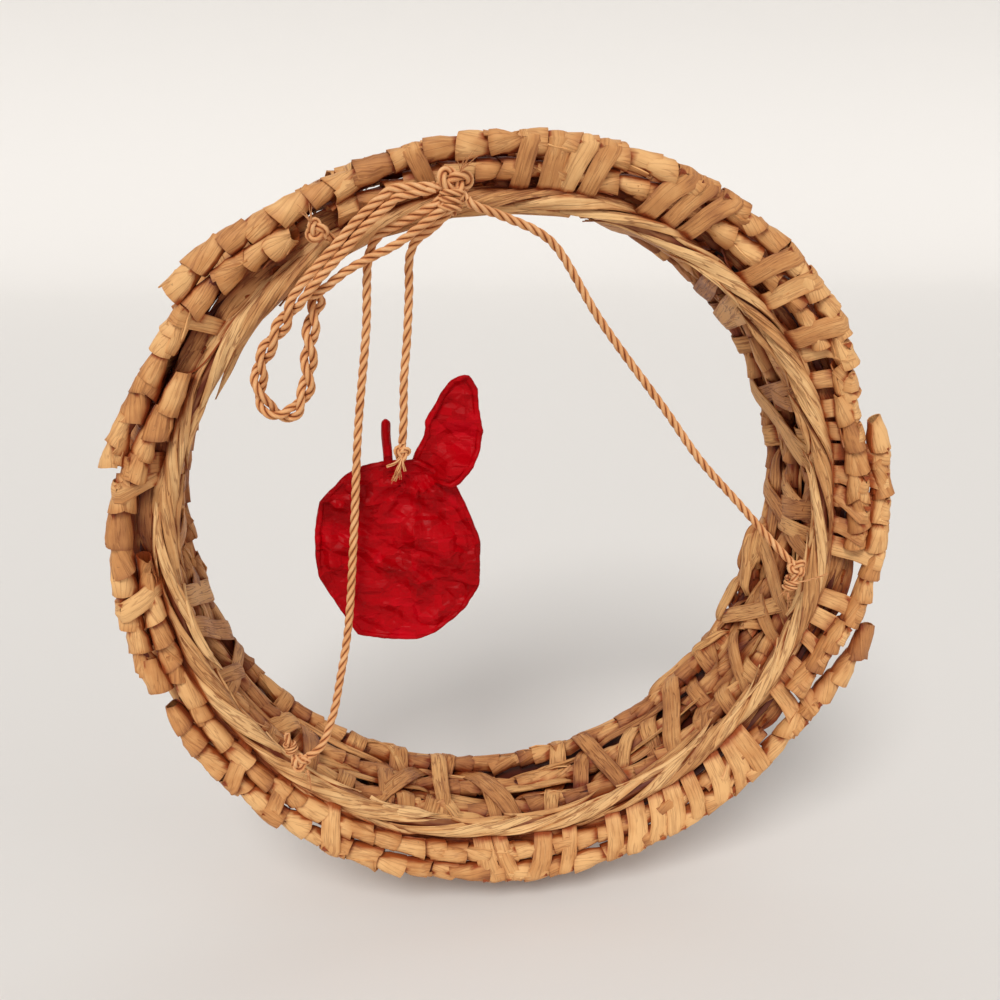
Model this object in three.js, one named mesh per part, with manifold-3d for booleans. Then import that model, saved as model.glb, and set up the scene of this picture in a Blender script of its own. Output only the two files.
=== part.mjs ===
// Hanging wreath ornament: a deep hoop woven of dried leaf, with three twisted cords tied to its
// crest, a doubled hanging loop, and a flat crimson apple on a cord of its own.
// Units are millimetres. +Z is up, the wreath faces -Y, and +X is to the viewer's right.
// Everything is laid out about the middle of the hoop, and the whole group is then moved so that the
// origin is where a nail or hook would carry the hoop: under the inner side of its top.
import * as THREE from 'three';
import { ParametricGeometry } from 'three/addons/geometries/ParametricGeometry.js';
import { mergeVertices } from 'three/addons/utils/BufferGeometryUtils.js';
import Module from 'manifold-3d';

const wasm = await Module();
wasm.setup();

// Driving dimensions of the hoop
const HOOP_OUTER_RADIUS = 150;      // over the outermost wrapped rods at the front
const HOOP_FRONT_Y = -31.5;         // foremost line of the outermost rods
const CLEARANCE = 0.3;              // between pieces that touch
const HOOP_RISE = 3;                // of the hoop's middle over the point that the cords are laid out from
const OUTER_ROD_DIAMETER = 8.5;
const MIDDLE_ROD_DIAMETER = 7.5;
const INNER_ROD_DIAMETER = 7;
const SIDE_ROD_DIAMETER = 8;
const CUFF_LENGTH = 14;             // one turn of leaf on a rod, seen as a flared cuff
const CUFF_FLARE = 0.8;             // narrow end of a cuff, as a share of its wide end
const CUFF_WIDE_AT = 0.88;          // where along its length a cuff is widest, as a share
const MIDDLE_ROD_BEHIND = 14;       // degrees behind the rim's plane, seen from the outer rod
const LOOSE_END = 7;                // how far a rod's loose end stands off the hoop
const BAND_THICKNESS = 6;           // the woven wall that the rods are bound to
const BAND_DEPTH = 50;              // along the wall, from its front edge to its back edge
const BAND_LEAN = 5;                // degrees that the wall leans inwards towards the back
const BAND_OUTSIDE = 2;             // the wall's front edge, outside the line of the middle rods
const CREST_WIDTH = 9;              // twisted leaf along the crest
const CREST_THICKNESS = 4.5;
const CREST_TURNS = 14;
const CREST_BEHIND = 24;            // degrees behind the rim's plane, seen from the middle rod
const STRIP_WIDTH = 9;              // flat binding strips that cross the front edge
const STRIP_THICKNESS = 2.4;
const STRIP_PITCH = 5.8;            // degrees
const RING_FACETS = 36;             // steps round a plain rod
const CREST_FACETS = 72;
const ROD_SIDES = 6;

// The hoop isn't quite round: the crest and the wall sit to the left of the rim, and the wall goes on
// to the left and upwards as it goes back
const DRIFT_LEFT = 2.5;
const DRIFT_FROM_Y = -20;
const DRIFT_LEFT_SLOPE = 0.06;      // for each mm that the wall goes back
const DRIFT_UP_SLOPE = 0.1;

// Driving dimensions of the cords
const CORD_DIAMETER = 3;
const CORD_SIDES = 8;
const CORD_STEP = 11;               // length of one facet of a straight cord
const CURLED_STEP = 5;              // the same on a cord with tight bends
const TWISTED_STEP = 2.8;           // and where two strands wind round each other
const GATHER_KNOT_RADIUS = 6;
const TIE_KNOT_RADIUS = 3.8;
const PENDANT_KNOT_RADIUS = 3.4;
const KNOT_LOBES = 3;
const KNOT_DENT = 0.12;             // depth of the dents between the lobes, as a share of the radius
const KNOT_SIDES = 9;
const KNOT_STATIONS = 6;

// Driving dimensions of the apple
const APPLE_CENTRE = new THREE.Vector3(-45, -19, 1);
const APPLE_HALF_WIDTH = 31;
const APPLE_HALF_HEIGHT = 35.5;
const APPLE_CROWN = 4.2;            // half its thickness in the middle
const APPLE_RIM = 1.2;              // half its thickness at the wired rim
const APPLE_SQUARENESS = 2.3;       // exponent of its rounded outline, where 2 is an ellipse
const APPLE_CRUMPLE = 0.5;
const APPLE_SIDES = 32;
const APPLE_STATIONS = 8;
const STEM_OFFSET = -3.4;           // from the apple's middle to its stem
const STEM_DIAMETER = 3.5;
const STEM_LENGTH = 16.5;
const LEAF_LENGTH = 36;
const LEAF_WIDTH = 19;
const LEAF_THICKNESS = 3.2;
const LEAF_TILT = 22;               // degrees from upright, towards +X
const LEAF_CURL = 3.2;              // how far its middle bulges to the right
const LEAF_STATIONS = 12;

// Finish of each material
const LEAF_TAN = new THREE.Color(0.78, 0.58, 0.36);
const LEAF_SHADE = new THREE.Color(0.66, 0.46, 0.28);
const CORD_RUST = new THREE.Color(0.72, 0.42, 0.24);
const APPLE_RED = new THREE.Color(0.62, 0.02, 0.09);

const ornament = new THREE.Group();

function addPiece(name, geometry, colour, roughness) {
  const material = new THREE.MeshStandardMaterial({ color: colour, roughness, metalness: 0 });
  const mesh = new THREE.Mesh(geometry, material);
  mesh.name = name;
  ornament.add(mesh);
}

const radians = THREE.MathUtils.degToRad;
const smooth = (t) => THREE.MathUtils.smoothstep(t, 0, 1);

// A point of the rim: radius and depth at an angle counted from +X, over the top
function rimPoint(radius, y, angle) {
  return new THREE.Vector3(radius * Math.cos(angle), y, radius * Math.sin(angle) + HOOP_RISE);
}

// The same on the crest and the wall, whose middle has drifted from the rim's
function drift(y) {
  const back = Math.max(0, y - DRIFT_FROM_Y);
  return new THREE.Vector3(-DRIFT_LEFT - DRIFT_LEFT_SLOPE * back, 0, DRIFT_UP_SLOPE * back);
}

const wallSidePoint = (radius, y, angle) => rimPoint(radius, y, angle).add(drift(y));

// Leaves shared corners once each, drops empty triangles and turns the faces outwards
function closedBody(geometry) {
  const bare = geometry.clone();
  bare.deleteAttribute('normal');
  bare.deleteAttribute('uv');
  const merged = mergeVertices(bare, 1e-4);
  const corner = merged.index.array;
  const place = merged.attributes.position;
  const kept = [];
  let volume = 0;
  const a = new THREE.Vector3();
  const b = new THREE.Vector3();
  const c = new THREE.Vector3();
  for (let i = 0; i < corner.length; i += 3) {
    const [p, q, r] = [corner[i], corner[i + 1], corner[i + 2]];
    if (p === q || q === r || r === p) continue;
    kept.push(p, q, r);
    a.fromBufferAttribute(place, p);
    b.fromBufferAttribute(place, q);
    c.fromBufferAttribute(place, r);
    volume += a.dot(b.cross(c));
  }
  if (volume < 0) kept.reverse();
  merged.setIndex(kept);
  merged.computeVertexNormals();
  return merged;
}

// A body swept from station 0 to the last one: at(station, turn) is a point of its skin
function sweep(sides, stations, at) {
  const place = (u, v, target) => {
    const turn = (Math.round(u * sides) % sides) / sides * 2 * Math.PI;
    target.copy(at(Math.round(v * stations), turn));
  };
  return closedBody(new ParametricGeometry(place, sides, stations));
}

// Rods lie on the leaning wall of the hoop: places across the section, as [radius, y]
const lean = radians(BAND_LEAN);
const alongWall = new THREE.Vector2(-Math.sin(lean), Math.cos(lean));
const acrossWall = new THREE.Vector2(-Math.cos(lean), -Math.sin(lean));
const outerRod = new THREE.Vector2(
  HOOP_OUTER_RADIUS - OUTER_ROD_DIAMETER / 2, HOOP_FRONT_Y + OUTER_ROD_DIAMETER / 2);
const rodSpacing = (OUTER_ROD_DIAMETER + MIDDLE_ROD_DIAMETER) / 2 + CLEARANCE;
const middleRod = outerRod.clone().add(new THREE.Vector2(-rodSpacing, 0).rotateAround(
  new THREE.Vector2(), -radians(MIDDLE_ROD_BEHIND)));
const wallFront = new THREE.Vector2(
  middleRod.x + BAND_OUTSIDE - DRIFT_LEFT, middleRod.y + (MIDDLE_ROD_DIAMETER + STRIP_THICKNESS) / 2);
const wallPoint = (along, across) => wallFront.clone()
  .addScaledVector(alongWall, along).addScaledVector(acrossWall, across);

// Wrapped rods: a chain of flared cuffs, closed at both ends. route(angle) gives [radius, y].
function wrappedRod(name, fromDegrees, toDegrees, diameter, route) {
  const from = radians(fromDegrees);
  const span = radians(toDegrees) - from;
  const cuffs = Math.round(Math.abs(span) * outerRod.x / CUFF_LENGTH);
  const stations = 2 * cuffs + 1;
  const geometry = sweep(ROD_SIDES, stations, (station, turn) => {
    const cuff = Math.floor((station - 1) / 2);
    const wide = station % 2 === 0;
    let share = (cuff + (wide ? CUFF_WIDE_AT : 0)) / cuffs;
    if (station === 0) share = 0;
    if (station === stations) share = 1;
    const ended = station === 0 || station === stations;
    const radius = ended ? 0 : diameter / 2 * (wide ? 1 : CUFF_FLARE);
    const angle = from + span * share;
    const [r, y] = route(THREE.MathUtils.radToDeg(angle));
    return rimPoint(r + radius * Math.cos(turn), y + radius * Math.sin(turn), angle);
  });
  addPiece(name, geometry, LEAF_TAN, 0.75);
}

// Between two angles the value goes smoothly from one level to the next
function ease(angle, start, end, low, high) {
  const t = THREE.MathUtils.clamp((angle - start) / (end - start), 0, 1);
  return low + (high - low) * smooth(t);
}

// Where one outer rod begins it runs inside the end of the next. A deeper tuck leaves room for the
// next rod's bend, and a shallow one lies on the rod's thin tip.
const DEEP_TUCK = -rodSpacing - 1.2;
const TUCK = -rodSpacing - 0.5;
const SHALLOW_TUCK = -rodSpacing + 2.5;
const outerRoute = (shift) => (angle) => [outerRod.x + shift(angle), outerRod.y];
const middleRoute = () => [middleRod.x, middleRod.y];

wrappedRod('wrapped_rod_upper', -2, 139, OUTER_ROD_DIAMETER, outerRoute(
  (angle) => ease(angle, 19, 38, TUCK, 0) + ease(angle, 118, 139, 0, LOOSE_END + 2.5)));
wrappedRod('wrapped_rod_right', -30, 18, OUTER_ROD_DIAMETER, outerRoute(
  (angle) => ease(angle, -28, -8, DEEP_TUCK, 0) + ease(angle, 8, 18, 0, 1.5)));
wrappedRod('wrapped_rod_lower', 204, 341, OUTER_ROD_DIAMETER, outerRoute(
  (angle) => ease(angle, 326, 341, 0, LOOSE_END)));
wrappedRod('wrapped_rod_upper_left', 124, 166, OUTER_ROD_DIAMETER, outerRoute(
  (angle) => ease(angle, 124, 139, SHALLOW_TUCK, 0) + ease(angle, 154, 166, 0, LOOSE_END - 1)));
wrappedRod('wrapped_rod_left', 150, 200.5, OUTER_ROD_DIAMETER, outerRoute(
  (angle) => ease(angle, 152, 174, TUCK, 0)));
wrappedRod('middle_rod_upper', 34, 118, MIDDLE_ROD_DIAMETER, middleRoute);
wrappedRod('middle_rod_lower', 180, 318, MIDDLE_ROD_DIAMETER, middleRoute);

// Plain rods that run all the way round
function plainRod(name, section, diameter, colour) {
  const geometry = sweep(ROD_SIDES, RING_FACETS, (station, turn) => {
    const angle = (station % RING_FACETS) / RING_FACETS * 2 * Math.PI;
    const radius = diameter / 2;
    return wallSidePoint(section.x + radius * Math.cos(turn), section.y + radius * Math.sin(turn), angle);
  });
  addPiece(name, geometry, colour, 0.8);
}

const innerOffset = BAND_THICKNESS / 2 + CLEARANCE + INNER_ROD_DIAMETER / 2;
const sideOffset = BAND_THICKNESS / 2 + CLEARANCE + SIDE_ROD_DIAMETER / 2;
const INNER_ROD_NAMES = ['inner_rod_front', 'inner_rod_middle', 'inner_rod_rear'];
const SIDE_ROD_NAMES = ['side_rod_front', 'side_rod_middle', 'side_rod_rear'];
const INNER_ROD_START = 11.5;       // distances along the wall from its front edge
const SIDE_ROD_START = 10;
const ROD_STEPS = 2.4;              // steps from the first rod to the wall's back edge, so two and a rest
const innerStep = (BAND_DEPTH - INNER_ROD_START - INNER_ROD_DIAMETER / 2) / ROD_STEPS;
const sideStep = (BAND_DEPTH - SIDE_ROD_START - SIDE_ROD_DIAMETER / 2) / ROD_STEPS;
const innerSections = INNER_ROD_NAMES.map((_, i) => wallPoint(INNER_ROD_START + i * innerStep, innerOffset));
INNER_ROD_NAMES.forEach((name, i) => plainRod(name, innerSections[i], INNER_ROD_DIAMETER, LEAF_SHADE));
SIDE_ROD_NAMES.forEach((name, i) => plainRod(
  name, wallPoint(SIDE_ROD_START + i * sideStep, -sideOffset), SIDE_ROD_DIAMETER, LEAF_SHADE));

// The crest: a flat leaf rope that turns about its own middle all the way round
const crestReach = (MIDDLE_ROD_DIAMETER + CREST_WIDTH) / 2 + CLEARANCE;
const crest = middleRod.clone().add(new THREE.Vector2(-crestReach, 0).rotateAround(
  new THREE.Vector2(), -radians(CREST_BEHIND)));
crest.x -= DRIFT_LEFT;

addPiece('crest_twist', sweep(6, CREST_FACETS, (station, turn) => {
  const angle = (station % CREST_FACETS) / CREST_FACETS * 2 * Math.PI;
  const twist = angle * CREST_TURNS / 2;
  const across = CREST_WIDTH / 2 * Math.cos(turn);
  const through = CREST_THICKNESS / 2 * Math.sin(turn);
  return wallSidePoint(
    crest.x + across * Math.cos(twist) - through * Math.sin(twist),
    crest.y + across * Math.sin(twist) + through * Math.cos(twist), angle);
}), LEAF_TAN, 0.75);

// The woven wall, with the flat strips that bind its front edge
function toSolid(geometry) {
  return new wasm.Manifold(new wasm.Mesh({
    numProp: 3,
    vertProperties: new Float32Array(geometry.attributes.position.array),
    triVerts: new Uint32Array(geometry.index.array),
  }));
}

function toGeometry(solid) {
  const mesh = solid.getMesh();
  const geometry = new THREE.BufferGeometry();
  geometry.setAttribute('position', new THREE.BufferAttribute(new Float32Array(mesh.vertProperties), 3));
  geometry.setIndex(new THREE.BufferAttribute(new Uint32Array(mesh.triVerts), 1));
  geometry.computeVertexNormals();
  return geometry;
}

function wovenWall() {
  const half = BAND_THICKNESS / 2;
  const section = [[-half / 2, 0], [0, half], [BAND_DEPTH - half, half], [BAND_DEPTH, 0],
    [BAND_DEPTH - half, -half], [0, -half]];
  return sweep(section.length, RING_FACETS, (station, turn) => {
    const [along, across] = section[Math.round(turn / (2 * Math.PI) * section.length)];
    const point = wallPoint(along, across);
    return wallSidePoint(point.x, point.y, (station % RING_FACETS) / RING_FACETS * 2 * Math.PI);
  });
}

function bindingStrip(angle) {
  const innerEnd = crest.x - DRIFT_LEFT * Math.cos(angle) + CREST_WIDTH / 2 + CLEARANCE;
  const outerEnd = HOOP_OUTER_RADIUS - OUTER_ROD_DIAMETER / 3;
  const strip = new THREE.BoxGeometry(outerEnd - innerEnd, STRIP_THICKNESS, STRIP_WIDTH);
  strip.translate((outerEnd + innerEnd) / 2, wallFront.y - STRIP_THICKNESS / 4, 0);
  strip.rotateY(-angle);
  strip.translate(0, 0, HOOP_RISE);
  return closedBody(strip);
}

const STRIP_FROM = 26;              // degrees: the stretch of the front edge where strips show
const STRIP_TO = -38;
let wallSolid = toSolid(wovenWall());
for (let angle = STRIP_FROM; angle >= STRIP_TO; angle -= STRIP_PITCH) {
  wallSolid = wallSolid.add(toSolid(bindingStrip(radians(angle))));
}
addPiece('woven_wall', toGeometry(wallSolid), LEAF_SHADE, 0.85);

// Knots: small lumpy balls of cord
function knot(name, centre, radius) {
  const geometry = sweep(KNOT_SIDES, KNOT_STATIONS, (station, turn) => {
    const polar = station / KNOT_STATIONS * Math.PI;
    const swell = 1 - KNOT_DENT * Math.sin(polar) * (1 + Math.cos(KNOT_LOBES * turn + 2 * polar)) / 2;
    const reach = radius * swell;
    return new THREE.Vector3(
      centre.x + reach * Math.sin(polar) * Math.cos(turn),
      centre.y + reach * Math.sin(polar) * Math.sin(turn),
      centre.z + reach * Math.cos(polar));
  });
  addPiece(name, geometry, CORD_RUST, 0.85);
}

// A cord is a round tube along its route. An end that meets a knot stops a clearance short of it.
function cord(name, route, step, startRadius, endRadius) {
  const points = route.map(([x, y, z]) => new THREE.Vector3(x, y, z));
  const pullBack = (end, next, reach) => {
    const away = next.clone().sub(end).normalize();
    end.addScaledVector(away, reach);
  };
  const last = points.length - 1;
  if (startRadius > 0) pullBack(points[0], points[1], startRadius + CLEARANCE);
  if (endRadius > 0) pullBack(points[last], points[last - 1], endRadius + CLEARANCE);
  const section = new THREE.Shape();
  for (let i = 0; i < CORD_SIDES; i += 1) {
    const turn = i / CORD_SIDES * 2 * Math.PI;
    const x = CORD_DIAMETER / 2 * Math.cos(turn);
    const y = CORD_DIAMETER / 2 * Math.sin(turn);
    if (i === 0) section.moveTo(x, y);
    else section.lineTo(x, y);
  }
  const path = new THREE.CatmullRomCurve3(points, false, 'centripetal');
  path.arcLengthDivisions = 10 * points.length;
  const steps = Math.round(path.getLength() / step);
  const tube = new THREE.ExtrudeGeometry(section, { extrudePath: path, steps, bevelEnabled: false });
  addPiece(name, closedBody(tube), CORD_RUST, 0.85);
}

// Knots and cord routes, as they lie
const gatherKnot = new THREE.Vector3(-24, -38, 135);
const leftTie = new THREE.Vector3(-86.9, -31, -80.5);
const rightTie = new THREE.Vector3(111.6, -31, -9.8);
const topTie = new THREE.Vector3(-69.5, -33.2, 120.4);
const pendantKnot = new THREE.Vector3(-43.2, -23.8, 41);

const LEFT_ROUTE = [
  [-24, -38, 135], [-30, -37, 128.8], [-42, -32.5, 122.5], [-49, -29.5, 118.5], [-52.3, -28, 113],
  [-54.5, -26, 86.5], [-58.8, -26, 50.7], [-61.9, -26.5, 12.9], [-65.9, -28, -26.7],
  [-69.9, -29, -47.1], [-73.2, -30, -61.4], [-78.9, -31, -74.9], [-86.9, -31, -80.5]];
const RIGHT_ROUTE = [
  [-24, -38, 135], [-18.5, -37.5, 129], [-6, -32, 124.5], [6, -29, 119.5], [13.2, -26, 114],
  [30.5, -22, 88.2], [56.9, -22, 53.9], [71.6, -23, 34], [88.4, -25, 15.6], [102.9, -28, -0.7],
  [111.6, -31, -9.8]];
const PENDANT_ROUTE = [
  [-24, -38, 135], [-23.6, -35.8, 128.6], [-31, -31.5, 121], [-36.5, -27.5, 116.5], [-38.6, -25.5, 111],
  [-39, -24, 99.9], [-40.2, -23.5, 82.4], [-41.7, -23.5, 68], [-42.2, -23.6, 54], [-43.2, -23.8, 41]];
const TOP_ROUTE = [
  [-24, -38, 135], [-27.2, -39.4, 128], [-36, -36, 121], [-43.7, -33.5, 115.6], [-52.3, -32.5, 111.4],
  [-60.8, -32, 106.8], [-67.8, -31.5, 101.5], [-72.3, -30.6, 98.9], [-74, -28.6, 99.5],
  [-71.5, -27.9, 103], [-66.5, -28, 107.8], [-63, -28.2, 113], [-64, -29.5, 117], [-69.5, -33.2, 120.4]];

// Middle line of the doubled hanging loop, from the gathering knot to the fold behind the top cord.
// The two strands lie side by side at first and then wind round each other.
const LOOP_LINE = [
  [-44, -37, 132], [-55, -35.5, 122.5], [-62.1, -34, 114.7], [-68.4, -34.2, 108.2], [-73.6, -34.4, 102.6],
  [-77.6, -33.4, 97.4], [-82.8, -31, 89.5], [-87.6, -29, 82.3], [-90.7, -28, 77], [-92.3, -27, 69.9],
  [-91.9, -27, 63.5], [-89.4, -27, 59.1], [-85.3, -27, 57], [-81.1, -27, 58.2], [-78, -27, 62.4],
  [-75.9, -27.5, 67.8], [-74.7, -28, 76.7], [-73.4, -28.6, 87.2], [-72.2, -27.8, 92.5],
  [-70.9, -26.2, 97]];
const STRAND_SPACING = CORD_DIAMETER + 2 * CLEARANCE;
const LOOP_POINTS = 72;
const FLAT_SHARE = 0.34;            // of the line, from the knot on, where the strands lie side by side
const HALF_TWISTS = 9;

function doubledRoute() {
  const corners = LOOP_LINE.map(([x, y, z]) => new THREE.Vector3(x, y, z));
  const line = new THREE.CatmullRomCurve3(corners, false, 'centripetal').getSpacedPoints(LOOP_POINTS);
  const last = LOOP_POINTS;
  const beside = (i, side) => {
    const before = line[Math.max(i - 1, 0)];
    const after = line[Math.min(i + 1, last)];
    const along = after.clone().sub(before).setY(0).normalize();
    const twist = HALF_TWISTS * Math.PI * Math.max(0, i / last - FLAT_SHARE) / (1 - FLAT_SHARE);
    return line[i].clone().add(
      new THREE.Vector3(-along.z * Math.cos(twist), Math.sin(twist), along.x * Math.cos(twist))
        .multiplyScalar(side * STRAND_SPACING / 2));
  };
  const out = line.map((_, i) => beside(i, 1));
  const back = line.map((_, i) => beside(i, -1)).reverse();
  const fold = line[last].clone().add(new THREE.Vector3(0, 0, STRAND_SPACING / 2));
  return [[-24, -38, 135], ...[...out, fold, ...back].map((p) => p.toArray()), [-24, -38, 135]];
}

knot('gathering_knot', gatherKnot, GATHER_KNOT_RADIUS);
knot('left_tie_knot', leftTie, TIE_KNOT_RADIUS);
knot('right_tie_knot', rightTie, TIE_KNOT_RADIUS);
knot('top_tie_knot', topTie, TIE_KNOT_RADIUS);
knot('pendant_knot', pendantKnot, PENDANT_KNOT_RADIUS);
cord('left_cord', LEFT_ROUTE, CORD_STEP, GATHER_KNOT_RADIUS, TIE_KNOT_RADIUS);
cord('right_cord', RIGHT_ROUTE, CORD_STEP, GATHER_KNOT_RADIUS, TIE_KNOT_RADIUS);
cord('pendant_cord', PENDANT_ROUTE, CORD_STEP, GATHER_KNOT_RADIUS, PENDANT_KNOT_RADIUS);
cord('top_cord', TOP_ROUTE, CURLED_STEP, GATHER_KNOT_RADIUS, TIE_KNOT_RADIUS);
cord('hanging_loop', doubledRoute(), TWISTED_STEP, GATHER_KNOT_RADIUS, GATHER_KNOT_RADIUS);

// The apple: a flat crowned disc in the outline of the fruit, with its faces crumpled
function appleOutline(turn) {
  const across = Math.abs(Math.cos(turn)) / APPLE_HALF_WIDTH;
  const up = Math.abs(Math.sin(turn)) / APPLE_HALF_HEIGHT;
  return (across ** APPLE_SQUARENESS + up ** APPLE_SQUARENESS) ** (-1 / APPLE_SQUARENESS);
}

addPiece('apple_body', sweep(APPLE_SIDES, APPLE_STATIONS, (station, turn) => {
  const polar = station / APPLE_STATIONS * Math.PI;
  const share = Math.sin(polar);
  const reach = appleOutline(turn) * share;
  const crumple = APPLE_CRUMPLE * Math.sin(5 * turn + 3 * polar) * share * (1 - share) * 4;
  const side = Math.sign(APPLE_STATIONS / 2 - station);     // 0 on the rim, where both skins meet
  const depth = (APPLE_RIM + (APPLE_CROWN - APPLE_RIM) * (1 - share ** 3)) * side;
  return new THREE.Vector3(
    APPLE_CENTRE.x + reach * Math.cos(turn),
    APPLE_CENTRE.y - depth + crumple,
    APPLE_CENTRE.z + reach * Math.sin(turn));
}), APPLE_RED, 0.35);

const stemFoot = APPLE_CENTRE.z + APPLE_HALF_HEIGHT + CLEARANCE;
const STEM_HEIGHTS = [0, 0, 0.35, 0.7, 0.92, 1, 1];         // as shares of its length and its radius
const STEM_WIDTHS = [0, 1, 0.85, 0.9, 1, 0.7, 0];
addPiece('apple_stem', sweep(CORD_SIDES, STEM_HEIGHTS.length - 1, (station, turn) => {
  const reach = STEM_DIAMETER / 2 * STEM_WIDTHS[station];
  return new THREE.Vector3(
    APPLE_CENTRE.x + STEM_OFFSET + reach * Math.cos(turn),
    APPLE_CENTRE.y + reach * Math.sin(turn),
    stemFoot + STEM_LENGTH * STEM_HEIGHTS[station]);
}), APPLE_RED, 0.4);

const LEAF_FOOT = new THREE.Vector3(APPLE_CENTRE.x + 13.2, APPLE_CENTRE.y, stemFoot - 1.2);
const leafTilt = radians(LEAF_TILT);
addPiece('apple_leaf', sweep(CORD_SIDES, LEAF_STATIONS, (station, turn) => {
  const share = station / LEAF_STATIONS;
  const half = LEAF_WIDTH / 2 * Math.sin(Math.PI * share ** 0.85);
  const across = half * Math.cos(turn) + LEAF_CURL * Math.sin(Math.PI * share);
  const through = LEAF_THICKNESS / 2 * Math.sin(turn) * Math.sin(Math.PI * share);
  const along = LEAF_LENGTH * share;
  return new THREE.Vector3(
    LEAF_FOOT.x + along * Math.sin(leafTilt) + across * Math.cos(leafTilt),
    LEAF_FOOT.y + through,
    LEAF_FOOT.z + along * Math.cos(leafTilt) - across * Math.sin(leafTilt));
}), APPLE_RED, 0.35);

// The origin is under the top of the rearmost inner rod, where a nail carries the hoop
const rearRod = innerSections[innerSections.length - 1];
const nailPlace = wallSidePoint(rearRod.x - INNER_ROD_DIAMETER / 2, rearRod.y, Math.PI / 2);
ornament.position.copy(nailPlace).negate();

export default ornament;
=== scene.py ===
# %% [markdown]
# # Hanging wreath ornament
# A hoop of dried leaf, about 300 mm across, with twisted cords and a flat crimson apple in its opening.
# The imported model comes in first. Its solids say where every rod, cord and knot is, and each piece made
# here takes the place of one or more of them. The box that holds the solids is kept, to compare sizes.

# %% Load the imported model
import math
import random
import bmesh
import bpy
from mathutils import Matrix, Vector, noise
from mathutils.bvhtree import BVHTree


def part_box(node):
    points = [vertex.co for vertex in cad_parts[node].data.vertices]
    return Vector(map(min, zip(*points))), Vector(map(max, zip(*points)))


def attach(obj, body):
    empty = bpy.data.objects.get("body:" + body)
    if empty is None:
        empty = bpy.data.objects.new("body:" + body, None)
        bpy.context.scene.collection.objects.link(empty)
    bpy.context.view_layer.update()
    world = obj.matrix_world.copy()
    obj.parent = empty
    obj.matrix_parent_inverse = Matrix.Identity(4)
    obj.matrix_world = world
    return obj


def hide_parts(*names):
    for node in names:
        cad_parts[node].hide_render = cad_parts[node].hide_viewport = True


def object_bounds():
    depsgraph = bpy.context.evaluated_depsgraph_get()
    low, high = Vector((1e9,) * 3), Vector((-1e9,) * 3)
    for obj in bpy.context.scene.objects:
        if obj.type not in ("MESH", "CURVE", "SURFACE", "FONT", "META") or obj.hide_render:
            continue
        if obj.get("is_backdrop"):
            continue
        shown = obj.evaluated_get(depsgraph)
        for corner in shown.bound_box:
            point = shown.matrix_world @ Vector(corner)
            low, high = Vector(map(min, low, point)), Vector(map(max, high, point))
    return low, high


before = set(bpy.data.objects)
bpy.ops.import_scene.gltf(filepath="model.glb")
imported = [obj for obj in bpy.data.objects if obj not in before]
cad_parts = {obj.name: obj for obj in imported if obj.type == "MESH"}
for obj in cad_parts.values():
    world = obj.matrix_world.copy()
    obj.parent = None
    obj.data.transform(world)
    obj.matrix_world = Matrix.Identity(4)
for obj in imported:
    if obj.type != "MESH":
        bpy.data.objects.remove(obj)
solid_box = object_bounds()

MM = 0.001
WHOLE_TURN = 2 * math.pi
print("solids:", len(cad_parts), "from", solid_box[0], "to", solid_box[1])

# %% [markdown]
# ## Places on the hoop
# Everything on the wreath follows the hoop, so it is easier to say where a thing is by an angle, a
# distance from the middle of the hoop and a depth. The angle counts from the right-hand side, over the
# top, in degrees, and the depth grows towards the back. Cords and apple are laid out from a point just
# under the middle of the hoop. It comes from the rearmost inner rod, whose solid runs all the way round.

# %% Hoop places
REAR_ROD_PLACE = Vector((-4.878, 19.627, 6.963))
HOOP_RISE = 3.0         # the hoop's middle is that much above the layout's
DRIFT_LEFT = 2.5        # how far the crest and the wall sit to the left of the rim
DRIFT_FROM = -20.0      # the depth behind which they drift on, left and up
DRIFT_LEFT_SLOPE = 0.06
DRIFT_UP_SLOPE = 0.1
low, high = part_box("inner_rod_rear")
LAYOUT_MIDDLE = (low + high) / 2 - REAR_ROD_PLACE * MM


def from_middle(point):
    """A point given in millimetres from the middle of the layout, in metres in the frame."""
    return LAYOUT_MIDDLE + Vector(point) * MM


def on_rim(angle, radius, depth):
    """The point at an angle in degrees, with its radius and depth in millimetres."""
    turn = math.radians(angle)
    return from_middle((radius * math.cos(turn), depth, radius * math.sin(turn) + HOOP_RISE))


def on_band(angle, radius, depth):
    """The same on the crest and the wall, which sit off to the left and drift on towards the back."""
    behind = max(0.0, depth - DRIFT_FROM)
    drift = Vector((-DRIFT_LEFT - DRIFT_LEFT_SLOPE * behind, 0, DRIFT_UP_SLOPE * behind))
    return on_rim(angle, radius, depth) + drift * MM


def facing_vector(angle, facing):
    """The direction in the hoop's section: 0 looks outwards, 90 back, 180 inwards and -90 to the front."""
    turn = math.radians(angle)
    tilt = math.radians(facing)
    return Vector((math.cos(tilt) * math.cos(turn), math.sin(tilt), math.cos(tilt) * math.sin(turn)))


def beside(centre, reach, turn):
    """Radius and depth of a place at a distance and a turn from a centre in the hoop's section."""
    return centre[0] + reach * math.cos(turn), centre[1] + reach * math.sin(turn)


def spoke(across, up, turn):
    """The direction at a turn between two directions that are square to each other."""
    return across * math.cos(turn) + up * math.sin(turn)


print("middle of the layout:", LAYOUT_MIDDLE)

# %% [markdown]
# ## The camera
# The photograph was taken from a little to the left of the wreath and from above it, with a lens that
# sees rather wide, close by. A camera of 35 mm at the same place gives the same outline.

# %% Camera
camera = bpy.data.objects.new("camera", bpy.data.cameras.new("camera"))
camera.data.lens = 35
camera.data.sensor_width = 36
camera.location = from_middle((-55.8, -373.1, 129.2))
camera.rotation_euler = (math.radians(73), 0, math.radians(-8))
bpy.context.scene.collection.objects.link(camera)
bpy.context.scene.camera = camera
print("camera at", camera.location)

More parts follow.
